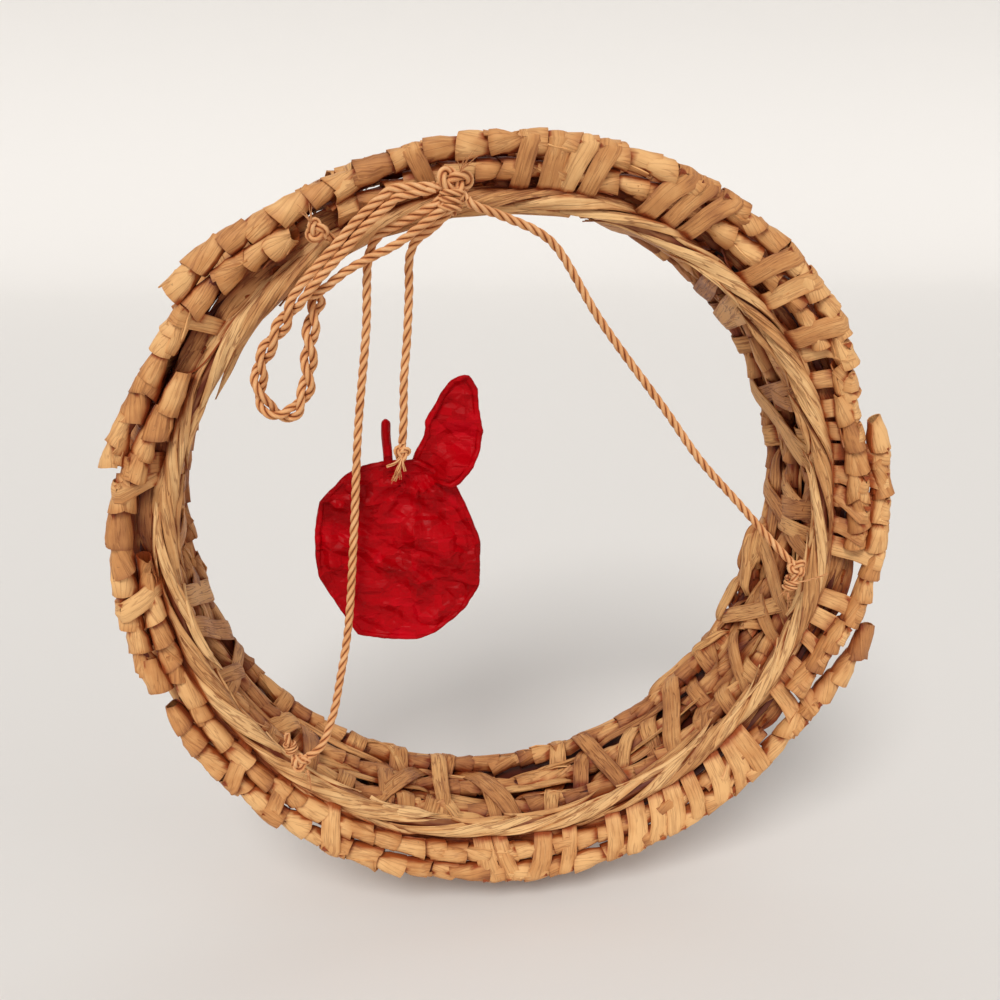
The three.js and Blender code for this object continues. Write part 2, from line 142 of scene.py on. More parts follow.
# %% [markdown]
# ## Smooth lines
# Cords and leaves both follow a few chosen points. A centripetal Catmull-Rom curve goes through every
# one of them without loops or overshoot, also where the points are unevenly spaced. It works on rows of
# three or four numbers alike, so a leaf can carry its facing along as the fourth.


# %% Curve through points
def curve_through(rows, count):
    """That many points on a smooth curve through the rows, from the first to the last."""
    rows = [Vector(row) for row in rows]
    rows = [rows[0] * 2 - rows[1], *rows, rows[-1] * 2 - rows[-2]]
    knots = [0.0]
    for here, there in zip(rows, rows[1:]):
        knots.append(knots[-1] + max((there - here).length, 1e-9) ** 0.5)
    points = []
    segment = 1
    for step in range(count):
        t = knots[1] + (knots[-2] - knots[1]) * step / (count - 1)
        while segment < len(rows) - 3 and t > knots[segment + 1]:
            segment += 1
        level = rows[segment - 1:segment + 3]
        times = knots[segment - 1:segment + 3]
        for spans in (zip(times, times[1:]), zip(times, times[2:]), [times[1:3]]):
            level = [level[i].lerp(level[i + 1], (t - start) / (end - start))
                     for i, (start, end) in enumerate(spans)]
        points.append(level[0])
    return points


def even_steps(points, step):
    """Points on the same line with equal distances, close to step."""
    lengths = [0.0]
    for here, there in zip(points, points[1:]):
        lengths.append(lengths[-1] + (there - here).length)
    count = max(2, round(lengths[-1] / step))
    spaced = []
    segment = 0
    for i in range(count + 1):
        reach = lengths[-1] * i / count
        while segment < len(points) - 2 and reach > lengths[segment + 1]:
            segment += 1
        share = (reach - lengths[segment]) / (lengths[segment + 1] - lengths[segment])
        spaced.append(points[segment].lerp(points[segment + 1], share))
    return spaced, lengths[-1]


# %% [markdown]
# ## Skins from a grid
# Blender's grid is a sheet of squares. Moving its corners to computed places gives a strip, a tube or a
# ring, and welding the corners that meet closes the seam. Holes that are left at the ends of a tube are
# filled. This is one short helper for rods, cords and the wall alike.


# %% Skin helper
def skin(mesh, across, along, place):
    """A grid whose corners go to place(u, v), both from 0 to 1, welded where they meet."""
    grid = bmesh.ops.create_grid(mesh, x_segments=across, y_segments=along, size=0.5)["verts"]
    spots = [(vert, place(vert.co.x + 0.5, vert.co.y + 0.5)) for vert in grid]
    for vert, spot in spots:
        vert.co = spot
    bmesh.ops.remove_doubles(mesh, verts=grid, dist=1e-6)
    grid = [vert for vert in grid if vert.is_valid]
    rims = list({edge for vert in grid for edge in vert.link_edges if edge.is_boundary})
    bmesh.ops.holes_fill(mesh, edges=rims, sides=0)
    faces = {face for vert in grid for face in vert.link_faces}
    bmesh.ops.recalc_face_normals(mesh, faces=list(faces))
    return grid


def finish_piece(mesh, name, finish, sharp=40):
    """Turns the mesh into the piece that stands for the solid of that name."""
    data = bpy.data.meshes.new(name + "_detail")
    mesh.to_mesh(data)
    mesh.free()
    data.shade_smooth()
    data.set_sharp_from_angle(angle=math.radians(sharp))
    data.materials.append(finish.material)
    piece = bpy.data.objects.new(name + "_detail", data)
    bpy.context.scene.collection.objects.link(piece)
    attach(piece, "root")
    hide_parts(name)
    triangles = sum(len(face.vertices) - 2 for face in data.polygons)
    print(piece.name, "has", triangles, "triangles")
    return piece


# %% [markdown]
# ## Shader sums
# A shader's maths is easier to read as an ordinary sum. Signal wraps a socket, so that + and * make the
# Math nodes. Finish holds one material and makes every other node with a single method.


# %% Signal and Finish
def shader_sum(operation, reflected=False):
    """A method of Signal that adds one Math node. Reflected, the other value comes first."""
    def method(self, other):
        first, second = (other, self) if reflected else (self, other)
        return self.finish.node("ShaderNodeMath", {"operation": operation}, {0: first, 1: second})["Value"]
    return method


class Signal:
    """A shader value that can be used in a sum."""

    __add__ = shader_sum("ADD")
    __radd__ = shader_sum("ADD", True)
    __sub__ = shader_sum("SUBTRACT")
    __rsub__ = shader_sum("SUBTRACT", True)
    __mul__ = shader_sum("MULTIPLY")
    __rmul__ = shader_sum("MULTIPLY", True)
    __pow__ = shader_sum("POWER")

    def __init__(self, finish, socket):
        self.finish = finish
        self.socket = socket


class Outputs:
    """The outputs of a node, each as a Signal."""

    def __init__(self, finish, node):
        self.finish = finish
        self.node = node

    def __getitem__(self, key):
        return Signal(self.finish, self.node.outputs[key])


class Finish:
    """A material with its Principled shader, and one way to add a node."""

    def __init__(self, name, **constants):
        self.name = name
        self.material = bpy.data.materials.new(name)
        self.material.use_nodes = True
        self.tree = self.material.node_tree
        self.shader = self.tree.nodes["Principled BSDF"]
        for socket, value in constants.items():
            self.shader.inputs[socket.replace("_", " ")].default_value = value

    def node(self, kind, settings=None, inputs=None):
        node = self.tree.nodes.new(kind)
        for key, value in (settings or {}).items():
            if key == "stops":
                self.set_stops(node.color_ramp, value)
            else:
                setattr(node, key, value)
        self.feed(node, inputs or {})
        return Outputs(self, node)

    def set_stops(self, ramp, stops):
        while len(ramp.elements) < len(stops):
            ramp.elements.new(0.5)
        for element, (position, colour) in zip(ramp.elements, stops):
            element.position = position
            element.color = (*colour, 1)

    def feed(self, node, inputs):
        for key, value in inputs.items():
            if isinstance(value, Signal):
                self.tree.links.new(value.socket, node.inputs[key])
            else:
                node.inputs[key].default_value = value

    def surface(self, **inputs):
        self.feed(self.shader, {key.replace("_", " "): value for key, value in inputs.items()})

    def mix(self, factor, first, second, blend="MIX"):
        """A mix of two colours. A colour is a Signal or a tuple of four numbers."""
        settings = {"data_type": "RGBA", "blend_type": blend}
        return self.node("ShaderNodeMix", settings, {0: factor, 6: first, 7: second})[2]

    def noise(self, vector, scale, detail=3.0, roughness=0.5):
        inputs = {"Vector": vector, "Scale": scale, "Detail": detail, "Roughness": roughness}
        return self.node("ShaderNodeTexNoise", None, inputs)["Fac"]

    def plates(self, vector, scale):
        """Random cells with straight sides: the distance from a cell's middle, and a number for each."""
        settings = {"distance": "CHEBYCHEV", "feature": "F1"}
        cells = self.node("ShaderNodeTexVoronoi", settings, {"Vector": vector, "Scale": scale})
        number = self.node("ShaderNodeSeparateColor", None, {"Color": cells["Color"]})["Red"]
        return cells["Distance"], number

    def ramp(self, value, stops):
        return self.node("ShaderNodeValToRGB", {"stops": stops}, {0: value})["Color"]

    def stretched(self, vector, scale):
        """The vector with each axis multiplied by its own number."""
        inputs = {"Vector": vector, "Scale": scale}
        return self.node("ShaderNodeMapping", {"vector_type": "POINT"}, inputs)["Vector"]

    def grain(self, vector, stretch, detail=3.0, roughness=0.5):
        """Noise with its own scale along each axis."""
        return self.noise(self.stretched(vector, stretch), 1.0, detail, roughness)

    def remap(self, value, low, high, low_result=0.0, high_result=1.0):
        """The value moved from one range to another and kept within it."""
        inputs = {"Value": value, "From Min": low, "From Max": high,
                  "To Min": low_result, "To Max": high_result}
        return self.node("ShaderNodeMapRange", None, inputs)["Result"]

    def attribute(self, name):
        return self.node("ShaderNodeAttribute", {"attribute_name": name})["Fac"]

    def places(self):
        return self.node("ShaderNodeTexCoord")["Object"]

    def uv(self, name):
        return self.node("ShaderNodeUVMap", {"uv_map": name})["UV"]

    def relief(self, strength, distance, height):
        """Feeds a height to the shader's normal, as bumps up to that distance."""
        inputs = {"Strength": strength, "Distance": distance, "Height": height}
        self.surface(Normal=self.node("ShaderNodeBump", None, inputs)["Normal"])


# %% [markdown]
# ## Twisted cord
# The cord is a craft twine of three plies. Each ply bulges and the grooves between them are painted a
# deeper rust-brown, as painted shade on top of the shade their real shape throws, while the tops are tan.
# The grooves are real shape in the mesh, and every corner carries a number that says how deep it lies in
# a groove, which darkens the colour there as painted shade. The fibres are a stretched noise, in its own UV
# map.


# %% Cord finish
def cord_finish():
    finish = Finish("twisted_cord", Specular_IOR_Level=0.25)
    cord_uv = finish.uv("cord")
    fibres = finish.grain(cord_uv, (34, 7, 1), 4.0, 0.6)
    patches = finish.grain(cord_uv, (0.6, 0.9, 1), 2.0)
    # The groove number darkens the colour in the grooves: painted shade.
    depth = finish.attribute("groove") * 0.7 + (0.5 - fibres) * 0.6 + (patches - 0.5) * 0.7 + 0.13
    colour = finish.ramp(depth, [(0.0, (0.92, 0.54, 0.27)), (0.32, (0.76, 0.35, 0.135)),
                                 (0.62, (0.46, 0.15, 0.05)), (1.0, (0.20, 0.05, 0.02))])
    finish.surface(Base_Color=colour, Roughness=fibres * 0.25 + 0.6)
    finish.relief(0.5, 0.0004, fibres)
    return finish


CORD_FINISH = cord_finish()
print("finish:", CORD_FINISH.name)

# %% [markdown]
# ## Cord routes
# The routes are the ones that the solids follow, in millimetres from the middle of the hoop. Each runs
# from the gathering knot, in front of the hoop's top, to its own tie. An end stops where its knot begins.

# %% Routes
CORD_DIAMETER = 3.0
CLEARANCE = 0.3
GATHER_RADIUS = 6.0
TIE_RADIUS = 3.8
PENDANT_RADIUS = 3.4
GATHER_KNOT = (-24, -38, 135)
LEFT_TIE = (-86.9, -31, -80.5)
RIGHT_TIE = (111.6, -31, -9.8)
TOP_TIE = (-69.5, -33.2, 120.4)
PENDANT_KNOT = (-43.2, -23.8, 41)
LEFT_ROUTE = [
    GATHER_KNOT, (-30, -37, 128.8), (-42, -32.5, 122.5), (-49, -29.5, 118.5), (-52.3, -28, 113),
    (-54.5, -26, 86.5), (-58.8, -26, 50.7), (-61.9, -26.5, 12.9), (-65.9, -28, -26.7),
    (-69.9, -29, -47.1), (-73.2, -30, -61.4), (-78.9, -31, -74.9), LEFT_TIE]
RIGHT_ROUTE = [
    GATHER_KNOT, (-18.5, -37.5, 129), (-6, -32, 124.5), (6, -29, 119.5), (13.2, -26, 114),
    (30.5, -22, 88.2), (56.9, -22, 53.9), (71.6, -23, 34), (88.4, -25, 15.6), (102.9, -28, -0.7),
    RIGHT_TIE]
PENDANT_ROUTE = [
    GATHER_KNOT, (-23.6, -35.8, 128.6), (-31, -31.5, 121), (-36.5, -27.5, 116.5), (-38.6, -25.5, 111),
    (-39, -24, 99.9), (-40.2, -23.5, 82.4), (-41.7, -23.5, 68), (-42.2, -23.6, 54), PENDANT_KNOT]
TOP_ROUTE = [
    GATHER_KNOT, (-27.2, -39.4, 128), (-36, -36, 121), (-43.7, -33.5, 115.6), (-52.3, -32.5, 111.4),
    (-60.8, -32, 106.8), (-67.8, -31.5, 101.5), (-72.3, -30.6, 98.9), (-74, -28.6, 99.5),
    (-71.5, -27.9, 103), (-66.5, -28, 107.8), (-63, -28.2, 113), (-64, -29.5, 117), TOP_TIE]
LOOP_LINE = [
    (-44, -37, 132), (-55, -35.5, 122.5), (-62.1, -34, 114.7), (-68.4, -34.2, 108.2), (-73.6, -34.4, 102.6),
    (-77.6, -33.4, 97.4), (-82.8, -31, 89.5), (-87.6, -29, 82.3), (-90.7, -28, 77), (-92.3, -27, 69.9),
    (-91.9, -27, 63.5), (-89.4, -27, 59.1), (-85.3, -27, 57), (-81.1, -27, 58.2), (-78, -27, 62.4),
    (-75.9, -27.5, 67.8), (-74.7, -28, 76.7), (-73.4, -28.6, 87.2), (-72.2, -27.8, 92.5), (-70.9, -26.2, 97)]
LOOP_POINTS = 72
FLAT_SHARE = 0.34       # of the loop, where its two strands lie side by side
HALF_TWISTS = 9
CORD_STEP = 0.9 * MM


def doubled(line):
    """The route of a cord that runs out along a line, folds at its end and winds back round itself."""
    curve = curve_through(line, 500)
    length = even_steps(curve, 1.0)[1]
    line, _ = even_steps(curve, length / LOOP_POINTS)
    last = len(line) - 1
    spacing = CORD_DIAMETER + CLEARANCE
    sides = []
    for i, point in enumerate(line):
        along = line[min(i + 1, last)] - line[max(i - 1, 0)]
        across = Vector((-along.z, 0, along.x)).normalized()
        turn = HALF_TWISTS * math.pi * max(0.0, i / last - FLAT_SHARE) / (1 - FLAT_SHARE)
        offset = spoke(across, Vector((0, 1, 0)), turn) * spacing / 2
        sides.append((point + offset, point - offset))
    fold = line[-1] + Vector((0, 0, spacing / 2))
    out = [side[0] for side in sides]
    back = [side[1] for side in reversed(sides)]
    return [GATHER_KNOT, *out, fold, *back, GATHER_KNOT]


def cord_line(route, start_gap, end_gap):
    """The route as evenly spaced points in metres, with its ends drawn back from the knots."""
    points = [Vector(point) for point in route]
    points[0] += (points[1] - points[0]).normalized() * (start_gap + CLEARANCE)
    points[-1] += (points[-2] - points[-1]).normalized() * (end_gap + CLEARANCE)
    return even_steps([from_middle(point) for point in curve_through(points, 1200)], CORD_STEP)


print("loop of", len(doubled(LOOP_LINE)), "points")

# %% [markdown]
# ## Laying a cord
# A section with three lobes is carried along the line and turned once in every lay length, to the right
# as such twine is. The section's own direction is carried from step to step without spinning, so that
# the lay stays even round the bends.

# %% Twisted tube
LAY_LENGTH = 13.6 * MM
PLIES = 3
PLY_BULGE = 1.07        # the tops of the plies stand a little outside the cord's round outline
GROOVE_REACH = 0.52     # radius at the bottom of a groove, as a share of the cord's


def lobed_radius(turn):
    """The section's radius at a turn, and how deep in a groove it is, from 0 to 1."""
    lobe = abs(math.cos(turn * PLIES / 2))
    share = GROOVE_REACH + (1 - GROOVE_REACH) * lobe ** 0.55
    return share, 1 - lobe ** 0.7


def carried_frames(points):
    """At each point the direction of travel and two directions across it, carried without spin."""
    frames = []
    across = None
    for i, point in enumerate(points):
        along = (points[min(i + 1, len(points) - 1)] - points[max(i - 1, 0)]).normalized()
        if across is None:
            across = along.orthogonal().normalized()
        across = (across - along * across.dot(along)).normalized()
        frames.append((point, across, along.cross(across)))
    return frames


def key_of(spot):
    """A place rounded, so that a corner finds its own values again after the seam is welded."""
    return tuple(round(number, 7) for number in spot)


def lay_cord(mesh, points, diameter, around=24, taper=0.0):
    """Adds a twisted tube along evenly spaced points to the mesh."""
    frames = carried_frames(points)
    step = (points[1] - points[0]).length
    groove = mesh.verts.layers.float.get("groove") or mesh.verts.layers.float.new("groove")
    uv = mesh.loops.layers.uv.get("cord") or mesh.loops.layers.uv.new("cord")
    last = len(points) - 1
    depths = {}

    def place(u, v):
        i = round(v * last)
        point, across, up = frames[i]
        share, depth = lobed_radius(u * WHOLE_TURN)
        spin = u * WHOLE_TURN + WHOLE_TURN * i * step / LAY_LENGTH
        reach = diameter / 2 * share * (1 - taper * i / last)
        spot = point + spoke(across, up, spin) * reach
        depths[key_of(spot)] = (depth, u, i * step)
        return spot

    for vert in skin(mesh, around, last, place):
        depth, u, reach = depths.get(key_of(vert.co), (0.5, 0, 0))
        vert[groove] = depth
        for loop in vert.link_loops:
            loop[uv].uv = (u, reach / (10 * MM))


def make_cord(name, route, end_gap):
    """One cord from its route, with its lay, its ends kept clear of the knots that hold it, and its length
    printed.
    """
    points, length = cord_line(route, GATHER_RADIUS, end_gap)
    mesh = bmesh.new()
    lay_cord(mesh, points, CORD_DIAMETER * PLY_BULGE * MM)
    piece = finish_piece(mesh, name, CORD_FINISH, sharp=75)
    print(name, "is", round(length / MM), "mm long")


# %% [markdown]
# ## Knots
# Each knot is a short piece of the same cord. An overhand knot is a trefoil drawn tight, so its line is
# the trefoil's formula, pressed a little flat. Turns of cord wound round it and frayed ends finish it.


# %% Knot helpers
KNOT_STEP = 0.8 * MM
TREFOIL_STEPS = 96
WINDING_STEPS = 24      # in each turn of a winding


def trefoil(centre, size, turned):
    """The line of a tight overhand knot round a centre, in metres."""
    points = []
    for i in range(TREFOIL_STEPS + 1):
        t = WHOLE_TURN * i / TREFOIL_STEPS
        spot = Vector((math.sin(t) + 2 * math.sin(2 * t), math.sin(3 * t) * 0.9,
                       math.cos(t) - 2 * math.cos(2 * t))) / 3
        points.append(from_middle(centre) + turned @ spot * size)
    return even_steps(points, KNOT_STEP)[0]


def winding(centre, axis, radius, pitch, turns):
    """The line of a few turns of cord wound round an axis."""
    axis = Vector(axis).normalized()
    across = axis.orthogonal().normalized()
    up = axis.cross(across)
    points = []
    for i in range(round(turns * WINDING_STEPS) + 1):
        turned = i / WINDING_STEPS
        rise = pitch * (turned - turns / 2)
        points.append(from_middle(centre) + spoke(across, up, WHOLE_TURN * turned) * radius * MM
                      + axis * rise * MM)
    return even_steps(points, KNOT_STEP)[0]


def fray(mesh, start, towards, length, count, draw):
    """Loose fibres that fan out of a cut end."""
    for _ in range(count):
        heading = Vector(towards).normalized() + Vector([draw.uniform(-0.55, 0.55) for _ in range(3)])
        middle = Vector(start) + heading * length * 0.5
        tip = Vector(start) + heading * length + Vector((0, 0, -length * draw.uniform(0, 0.35)))
        points = [from_middle(point) for point in curve_through([start, middle, tip], 10)]
        lay_cord(mesh, points, draw.uniform(0.35, 0.7) * MM, around=6, taper=0.7)


def make_knot(name, centre, size, tilt, cords, radius, windings, frays, extra=()):
    """A knot with its windings, its frayed ends and short extra lines of cord, from where cords end."""
    draw = random.Random(name)
    mesh = bmesh.new()
    turned = Matrix.Rotation(math.radians(tilt), 3, "Y") @ Matrix.Rotation(math.radians(tilt / 2), 3, "Z")
    lay_cord(mesh, trefoil(centre, size * MM, turned), min(CORD_DIAMETER * 1.1, size * 0.95) * MM, around=18)
    for neighbour in cords:
        heading = (Vector(neighbour) - Vector(centre)).normalized()
        stub = [from_middle(Vector(centre) + heading * reach) for reach in (radius + CLEARANCE, radius * 0.2)]
        lay_cord(mesh, even_steps(stub, KNOT_STEP)[0], CORD_DIAMETER * MM, around=18)
    for *shape, thickness in windings:
        lay_cord(mesh, winding(*shape), thickness * MM, around=12)
    for start, towards, length, count in frays:
        fray(mesh, start, towards, length, count, draw)
    for line, thickness in extra:
        points, _ = even_steps([from_middle(point) for point in curve_through(line, 60)], KNOT_STEP)
        lay_cord(mesh, points, thickness * MM, around=12)
    return finish_piece(mesh, name, CORD_FINISH, sharp=75)


# %% Knots and cords
gathering_knot = make_knot(
    "gathering_knot", GATHER_KNOT, 5.4, 15,
    [LEFT_ROUTE[1], RIGHT_ROUTE[1], PENDANT_ROUTE[1], TOP_ROUTE[1], LOOP_LINE[0]], GATHER_RADIUS,
    [((-25, -38, 130), (0.2, 0, 1), 3.2, 2.4, 3.2, 2.4)], [((-22, -41, 139), (0.3, -0.2, 1), 7, 9)])
left_tie_knot = make_knot(
    "left_tie_knot", LEFT_TIE, 3.1, 30, [LEFT_ROUTE[-2]], TIE_RADIUS,
    [((-89.9, -31.4, -73.6), (-0.25, 0, 1), 1.9, 1.7, 2.6, 1.7)],
    [((-84, -32, -83.5), (-0.2, -0.4, -1), 5, 6)],
    [([(-85.4, -31.6, -79.5), (-88.6, -31.8, -77.6), (-90.3, -31.4, -73.6), (-91.2, -31, -67.6)], 2.8)])
right_tie_knot = make_knot(
    "right_tie_knot", RIGHT_TIE, 3.0, -20, [RIGHT_ROUTE[-2]], TIE_RADIUS,
    [((109.4, -31.5, -16.2), (0.2, 0, 1), 2.2, 2.0, 2.4, 2.0)], [((108, -32, -19), (-0.2, -0.3, -1), 5, 7)],
    [([(111, -32, -12), (110.2, -31.8, -14.5), (109, -31.6, -18.6)], 2.6),
     ([(109.6, -33.4, -15.2), (116, -33.4, -14.2), (124.1, -32.2, -12.6)], 0.7)])
top_tie_knot = make_knot("top_tie_knot", TOP_TIE, 3.1, 40, [TOP_ROUTE[-2]], TIE_RADIUS, [],
                         [((-71, -36, 123), (-0.4, -0.3, 1), 5, 6)])
pendant_knot = make_knot(
    "pendant_knot", PENDANT_KNOT, 2.5, 10, [PENDANT_ROUTE[-2]], PENDANT_RADIUS, [],
    [((-44.5, -25, 37), (-0.3, -0.25, -1), 4.5, 12)],
    [([(-43.6, -24.5, 40), (-45.5, -25.6, 38), (-49, -25.6, 36.4)], 1.2),
     ([(-43.6, -24.5, 40), (-44.4, -26, 36), (-46.2, -25.6, 31)], 1.3),
     ([(-43.2, -24.5, 40), (-43, -25.8, 37), (-42.3, -25.6, 34.6)], 1.2)])

make_cord("left_cord", LEFT_ROUTE, TIE_RADIUS)
make_cord("right_cord", RIGHT_ROUTE, TIE_RADIUS)
make_cord("top_cord", TOP_ROUTE, TIE_RADIUS)
make_cord("pendant_cord", PENDANT_ROUTE, PENDANT_RADIUS)
make_cord("hanging_loop", doubled(LOOP_LINE), GATHER_RADIUS)

# %% [markdown]
# ## Leaf finish
# All of the hoop is dried leaf: pale straw where it is smooth and lit, tan to reddish brown where it is
# older, with fine veins along each strip and darker, slightly curled edges. Every strip has its own
# stretch of the UV map, in centimetres, so the veins follow it round the rods. Two numbers on the corners
# help: tint is one number for a whole strip, and edge grows towards its long sides. On the inner rods and the
# wall a darker copy is painted shade.


# %% Leaf finish
def leaf_finish(name, straw, tan, brown, age, veined=1.0):
    """Dried leaf. The shift after the three colours moves the whole piece from straw towards brown; for the
    darker inner copy it is part of the painted shade. Veined is how much it is lined.
    """
    finish = Finish(name, Specular_IOR_Level=0.35)
    leaf_uv = finish.uv("leaf")
    place = finish.places()
    veins = finish.grain(leaf_uv, (13, 0.55, 1), 5.0, 0.62)
    fine = finish.grain(leaf_uv, (48, 1.6, 1), 3.0, 0.6)
    blotch = finish.noise(place, 75.0, 4.0, 0.6)
    patch = finish.grain(leaf_uv, (1.1, 0.7, 1), 2.0)
    depth = (finish.attribute("tint") * 0.42 + (0.5 - veins) * (0.72 * veined)
             + (0.5 - fine) * (0.32 * veined) + (blotch - 0.5) * 0.55 + (patch - 0.5) * 0.6
             + (finish.attribute("edge") ** 4) * 0.2 + age)
    colour = finish.ramp(depth, [(0.0, straw), (0.33, tan), (0.72, brown), (1.0, (0.10, 0.032, 0.014))])
    specks = finish.remap(finish.noise(place, 900.0, 1.0), 0.74, 0.8)
    colour = finish.mix(specks * 0.35, colour, (0.16, 0.06, 0.025, 1))
    # Crease lines get a dent in the relief and a darker colour as well: painted shade in the creases.
    off_crease = finish.grain(leaf_uv, (5.5, 0.4, 1), 2.0) - 0.5
    crease = finish.remap(off_crease * off_crease, 0.0, 0.0007, 1.0, 0.0)
    colour = finish.mix(crease * (0.6 * veined), colour, (0.34, 0.15, 0.08, 1), "MULTIPLY")
    shade = finish.remap(finish.attribute("shade"), 0.06, 0.52)
    colour = finish.mix(shade, colour, (0.50, 0.205, 0.095, 1), "MULTIPLY")
    finish.surface(Base_Color=colour, Roughness=veins * 0.3 + 0.42)
    height = veins * (0.7 * veined) + fine * (0.3 * veined) - crease * (0.35 * veined)
    finish.relief(0.75, 0.0007, height)
    return finish


STRAW = (0.86, 0.49, 0.20)
TAN = (0.62, 0.275, 0.09)
BROWN = (0.28, 0.085, 0.028)
WRAP_FINISH = leaf_finish("leaf_wrapping", STRAW, TAN, BROWN, -0.02, 0.55)
CREST_FINISH = leaf_finish("leaf_crest", (0.88, 0.54, 0.24), (0.65, 0.32, 0.115), BROWN, -0.02)
# The inner rods and the wall get darker copies of the leaf: painted shade for the parts that lie deeper
# inside the hoop.
INNER_SHADED_FINISH = leaf_finish("leaf_inner", (0.76, 0.40, 0.15), (0.52, 0.215, 0.07), (0.22, 0.058, 0.02),
                           0.04, 0.7)
WALL_SHADED_FINISH = leaf_finish("leaf_wall", (0.80, 0.44, 0.17), (0.56, 0.245, 0.08), (0.24, 0.07, 0.024), 0.0)
for look in (WRAP_FINISH, CREST_FINISH, INNER_SHADED_FINISH, WALL_SHADED_FINISH):
    print("finish:", look.name)

# %% [markdown]
# ## Strips of leaf
# A strip is a grid carried along a smooth line on the hoop. Its stations say where its middle is and
# which way its face looks. It can narrow towards its ends, bulge across its width, roll to one side like
# a funnel, and ripple a little, as no dry leaf is flat. The strips of one piece are gathered first. They
# get their shade and their thickness together, once the whole hoop is there.

# %% LeafWork
LEAF_THICKNESS = 0.5 * MM
TAPER_SHARE = 0.4       # the part of a strip's length over which an end narrows
TORN_END = 2.0          # how uneven the torn end of a strip is, in millimetres
RAGGED_SIDES = 0.16     # the same for its long sides, as a share of its width
# A heart's tint is painted dark: painted shade for the deep gaps between the strips.
CORE_SHADE_TINT = 1.7         # the dark of a piece's heart
CORE_SIDES = 10
CORE_STEP = 3.0         # degrees
RING_STEPS = 90
BLUNT_END = (0.05, 0.6, 0.88, 1)    # how full a heart is at its first steps from an end


def smooth_share(value):
    """From 0 to 1 with a soft start and a soft end."""
    value = min(max(value, 0.0), 1.0)
    return value * value * (3 - 2 * value)


class LeafWork:
    """Gathers the strips of one piece in one mesh."""

    def __init__(self, name, look, place=on_rim):
        self.name = name
        self.look = look
        self.place = place
        self.draw = random.Random(name)
        self.mesh = bmesh.new()
        self.uv = self.mesh.loops.layers.uv.new("leaf")
        self.tint, self.edge, self.shade = [self.mesh.verts.layers.float.new(name)
                                            for name in ("tint", "edge", "shade")]
        self.strips = 0
        self.sheet = []

    def leaf(self, stations, width, ends=(1.0, 1.0), bow=0.0, roll=0.0, ripple=0.25, across=4, along=12,
             tint=None, fold=0.0, crosswise=False):
        """One strip. Widths, bow, ripple and fold are in millimetres, roll in degrees. Its veins run
        along it, or across it where the leaf was wound crosswise."""
        rows = curve_through(stations, along + 1)
        points = [self.place(*row[:3]) for row in rows]
        frames = []
        length = [0.0]
        turn = math.radians(roll)
        for i, row in enumerate(rows):
            ahead = (points[min(i + 1, along)] - points[max(i - 1, 0)]).normalized()
            face = facing_vector(row[0], row[3])
            face = (face - ahead * face.dot(ahead)).normalized()
            side = ahead.cross(face)
            frames.append((points[i], spoke(side, face, turn), spoke(face, -side, turn), ahead))
            if i:
                length.append(length[-1] + (points[i] - points[i - 1]).length)
        tone = self.draw.uniform(0, 1) if tint is None else tint
        shift = Vector((self.draw.uniform(0, 50), self.draw.uniform(0, 50)))
        grid = bmesh.ops.create_grid(self.mesh, x_segments=across, y_segments=along, size=0.5)["verts"]
        for vert in grid:
            u = vert.co.x + 0.5
            v = vert.co.y + 0.5
            i = round(v * along)
            narrow = min(ends[0] + (1 - ends[0]) * smooth_share(v / TAPER_SHARE),
                         ends[1] + (1 - ends[1]) * smooth_share((1 - v) / TAPER_SHARE))
            ragged = 1 + RAGGED_SIDES * noise.noise(Vector((shift.x, v * 3.5 + shift.y, round(u))))
            point, side, face, ahead = frames[i]
            out = abs(2 * u - 1)
            wave = noise.noise(Vector((u * 2.5 + shift.x, length[i] / MM * 0.06 + shift.y, 0.5)))
            lift = bow * (1 - out * out) + ripple * wave * 2 + fold * (-1) ** round(u * across)
            torn = TORN_END * noise.noise(Vector((u * 4, shift.x, v))) if i == along else 0.0
            vert.co = point + (side * (u - 0.5) * width * narrow * ragged + face * lift + ahead * torn) * MM
            vert[self.tint] = tone
            vert[self.edge] = out
            spot = Vector((u * width / 10, length[i] / (10 * MM))) + shift
            for loop in vert.link_loops:
                loop[self.uv].uv = (spot.y, spot.x) if crosswise else (spot.x, spot.y)
        self.sheet += list({face for vert in grid for face in vert.link_faces})
        self.strips += 1

    def core(self, start, end, path, radius, tint=CORE_SHADE_TINT):
        """A round heart along the hoop that the strips are wound on, painted dark by default as painted shade
        for the gaps between them. Its ends are blunt, unless they meet.
        """
        full = abs(end - start) >= 360
        along = RING_STEPS if full else max(6, round(abs(end - start) / CORE_STEP) + 4)

        def place(u, v):
            angle = start if full and v == 1 else start + (end - start) * v
            from_end = round(min(v, 1 - v) * along)
            reach = radius * (1 if full else BLUNT_END[min(3, from_end)])
            return self.place(angle, *beside(path(angle), reach, WHOLE_TURN * u))

        for vert in skin(self.mesh, CORE_SIDES, along, place):
            vert[self.tint] = tint

    def finish(self):
        """Gives each strip its thickness, by a copy of it set inwards, and makes the piece."""
        self.mesh.normal_update()
        inward = self.mesh.verts.layers.float_vector.new("inward")
        for vert in self.mesh.verts:
            vert[inward] = -vert.normal
        copied = bmesh.ops.extrude_face_region(self.mesh, geom=self.sheet)["geom"]
        for vert in copied:
            if isinstance(vert, bmesh.types.BMVert):
                vert.co += vert[inward] * LEAF_THICKNESS
        self.mesh.verts.layers.float_vector.remove(inward)
        bmesh.ops.recalc_face_normals(self.mesh, faces=self.mesh.faces[:])
        print(self.name, "is wound of", self.strips, "strips")
        finish_piece(self.mesh, self.name, self.look)


# %% [markdown]
# ## Wrapped rods
# A rod is a stem with leaf wound round it, one short length after another. Each length makes a cuff that
# is narrow above and flares below, where it stands over the next one and throws a thin shadow. The
# cuff is a strip that goes a little more than once round, rolled like a funnel, so its seam shows too.
# Cuffs don't sit quite in line, so a rod looks knuckled rather than turned.

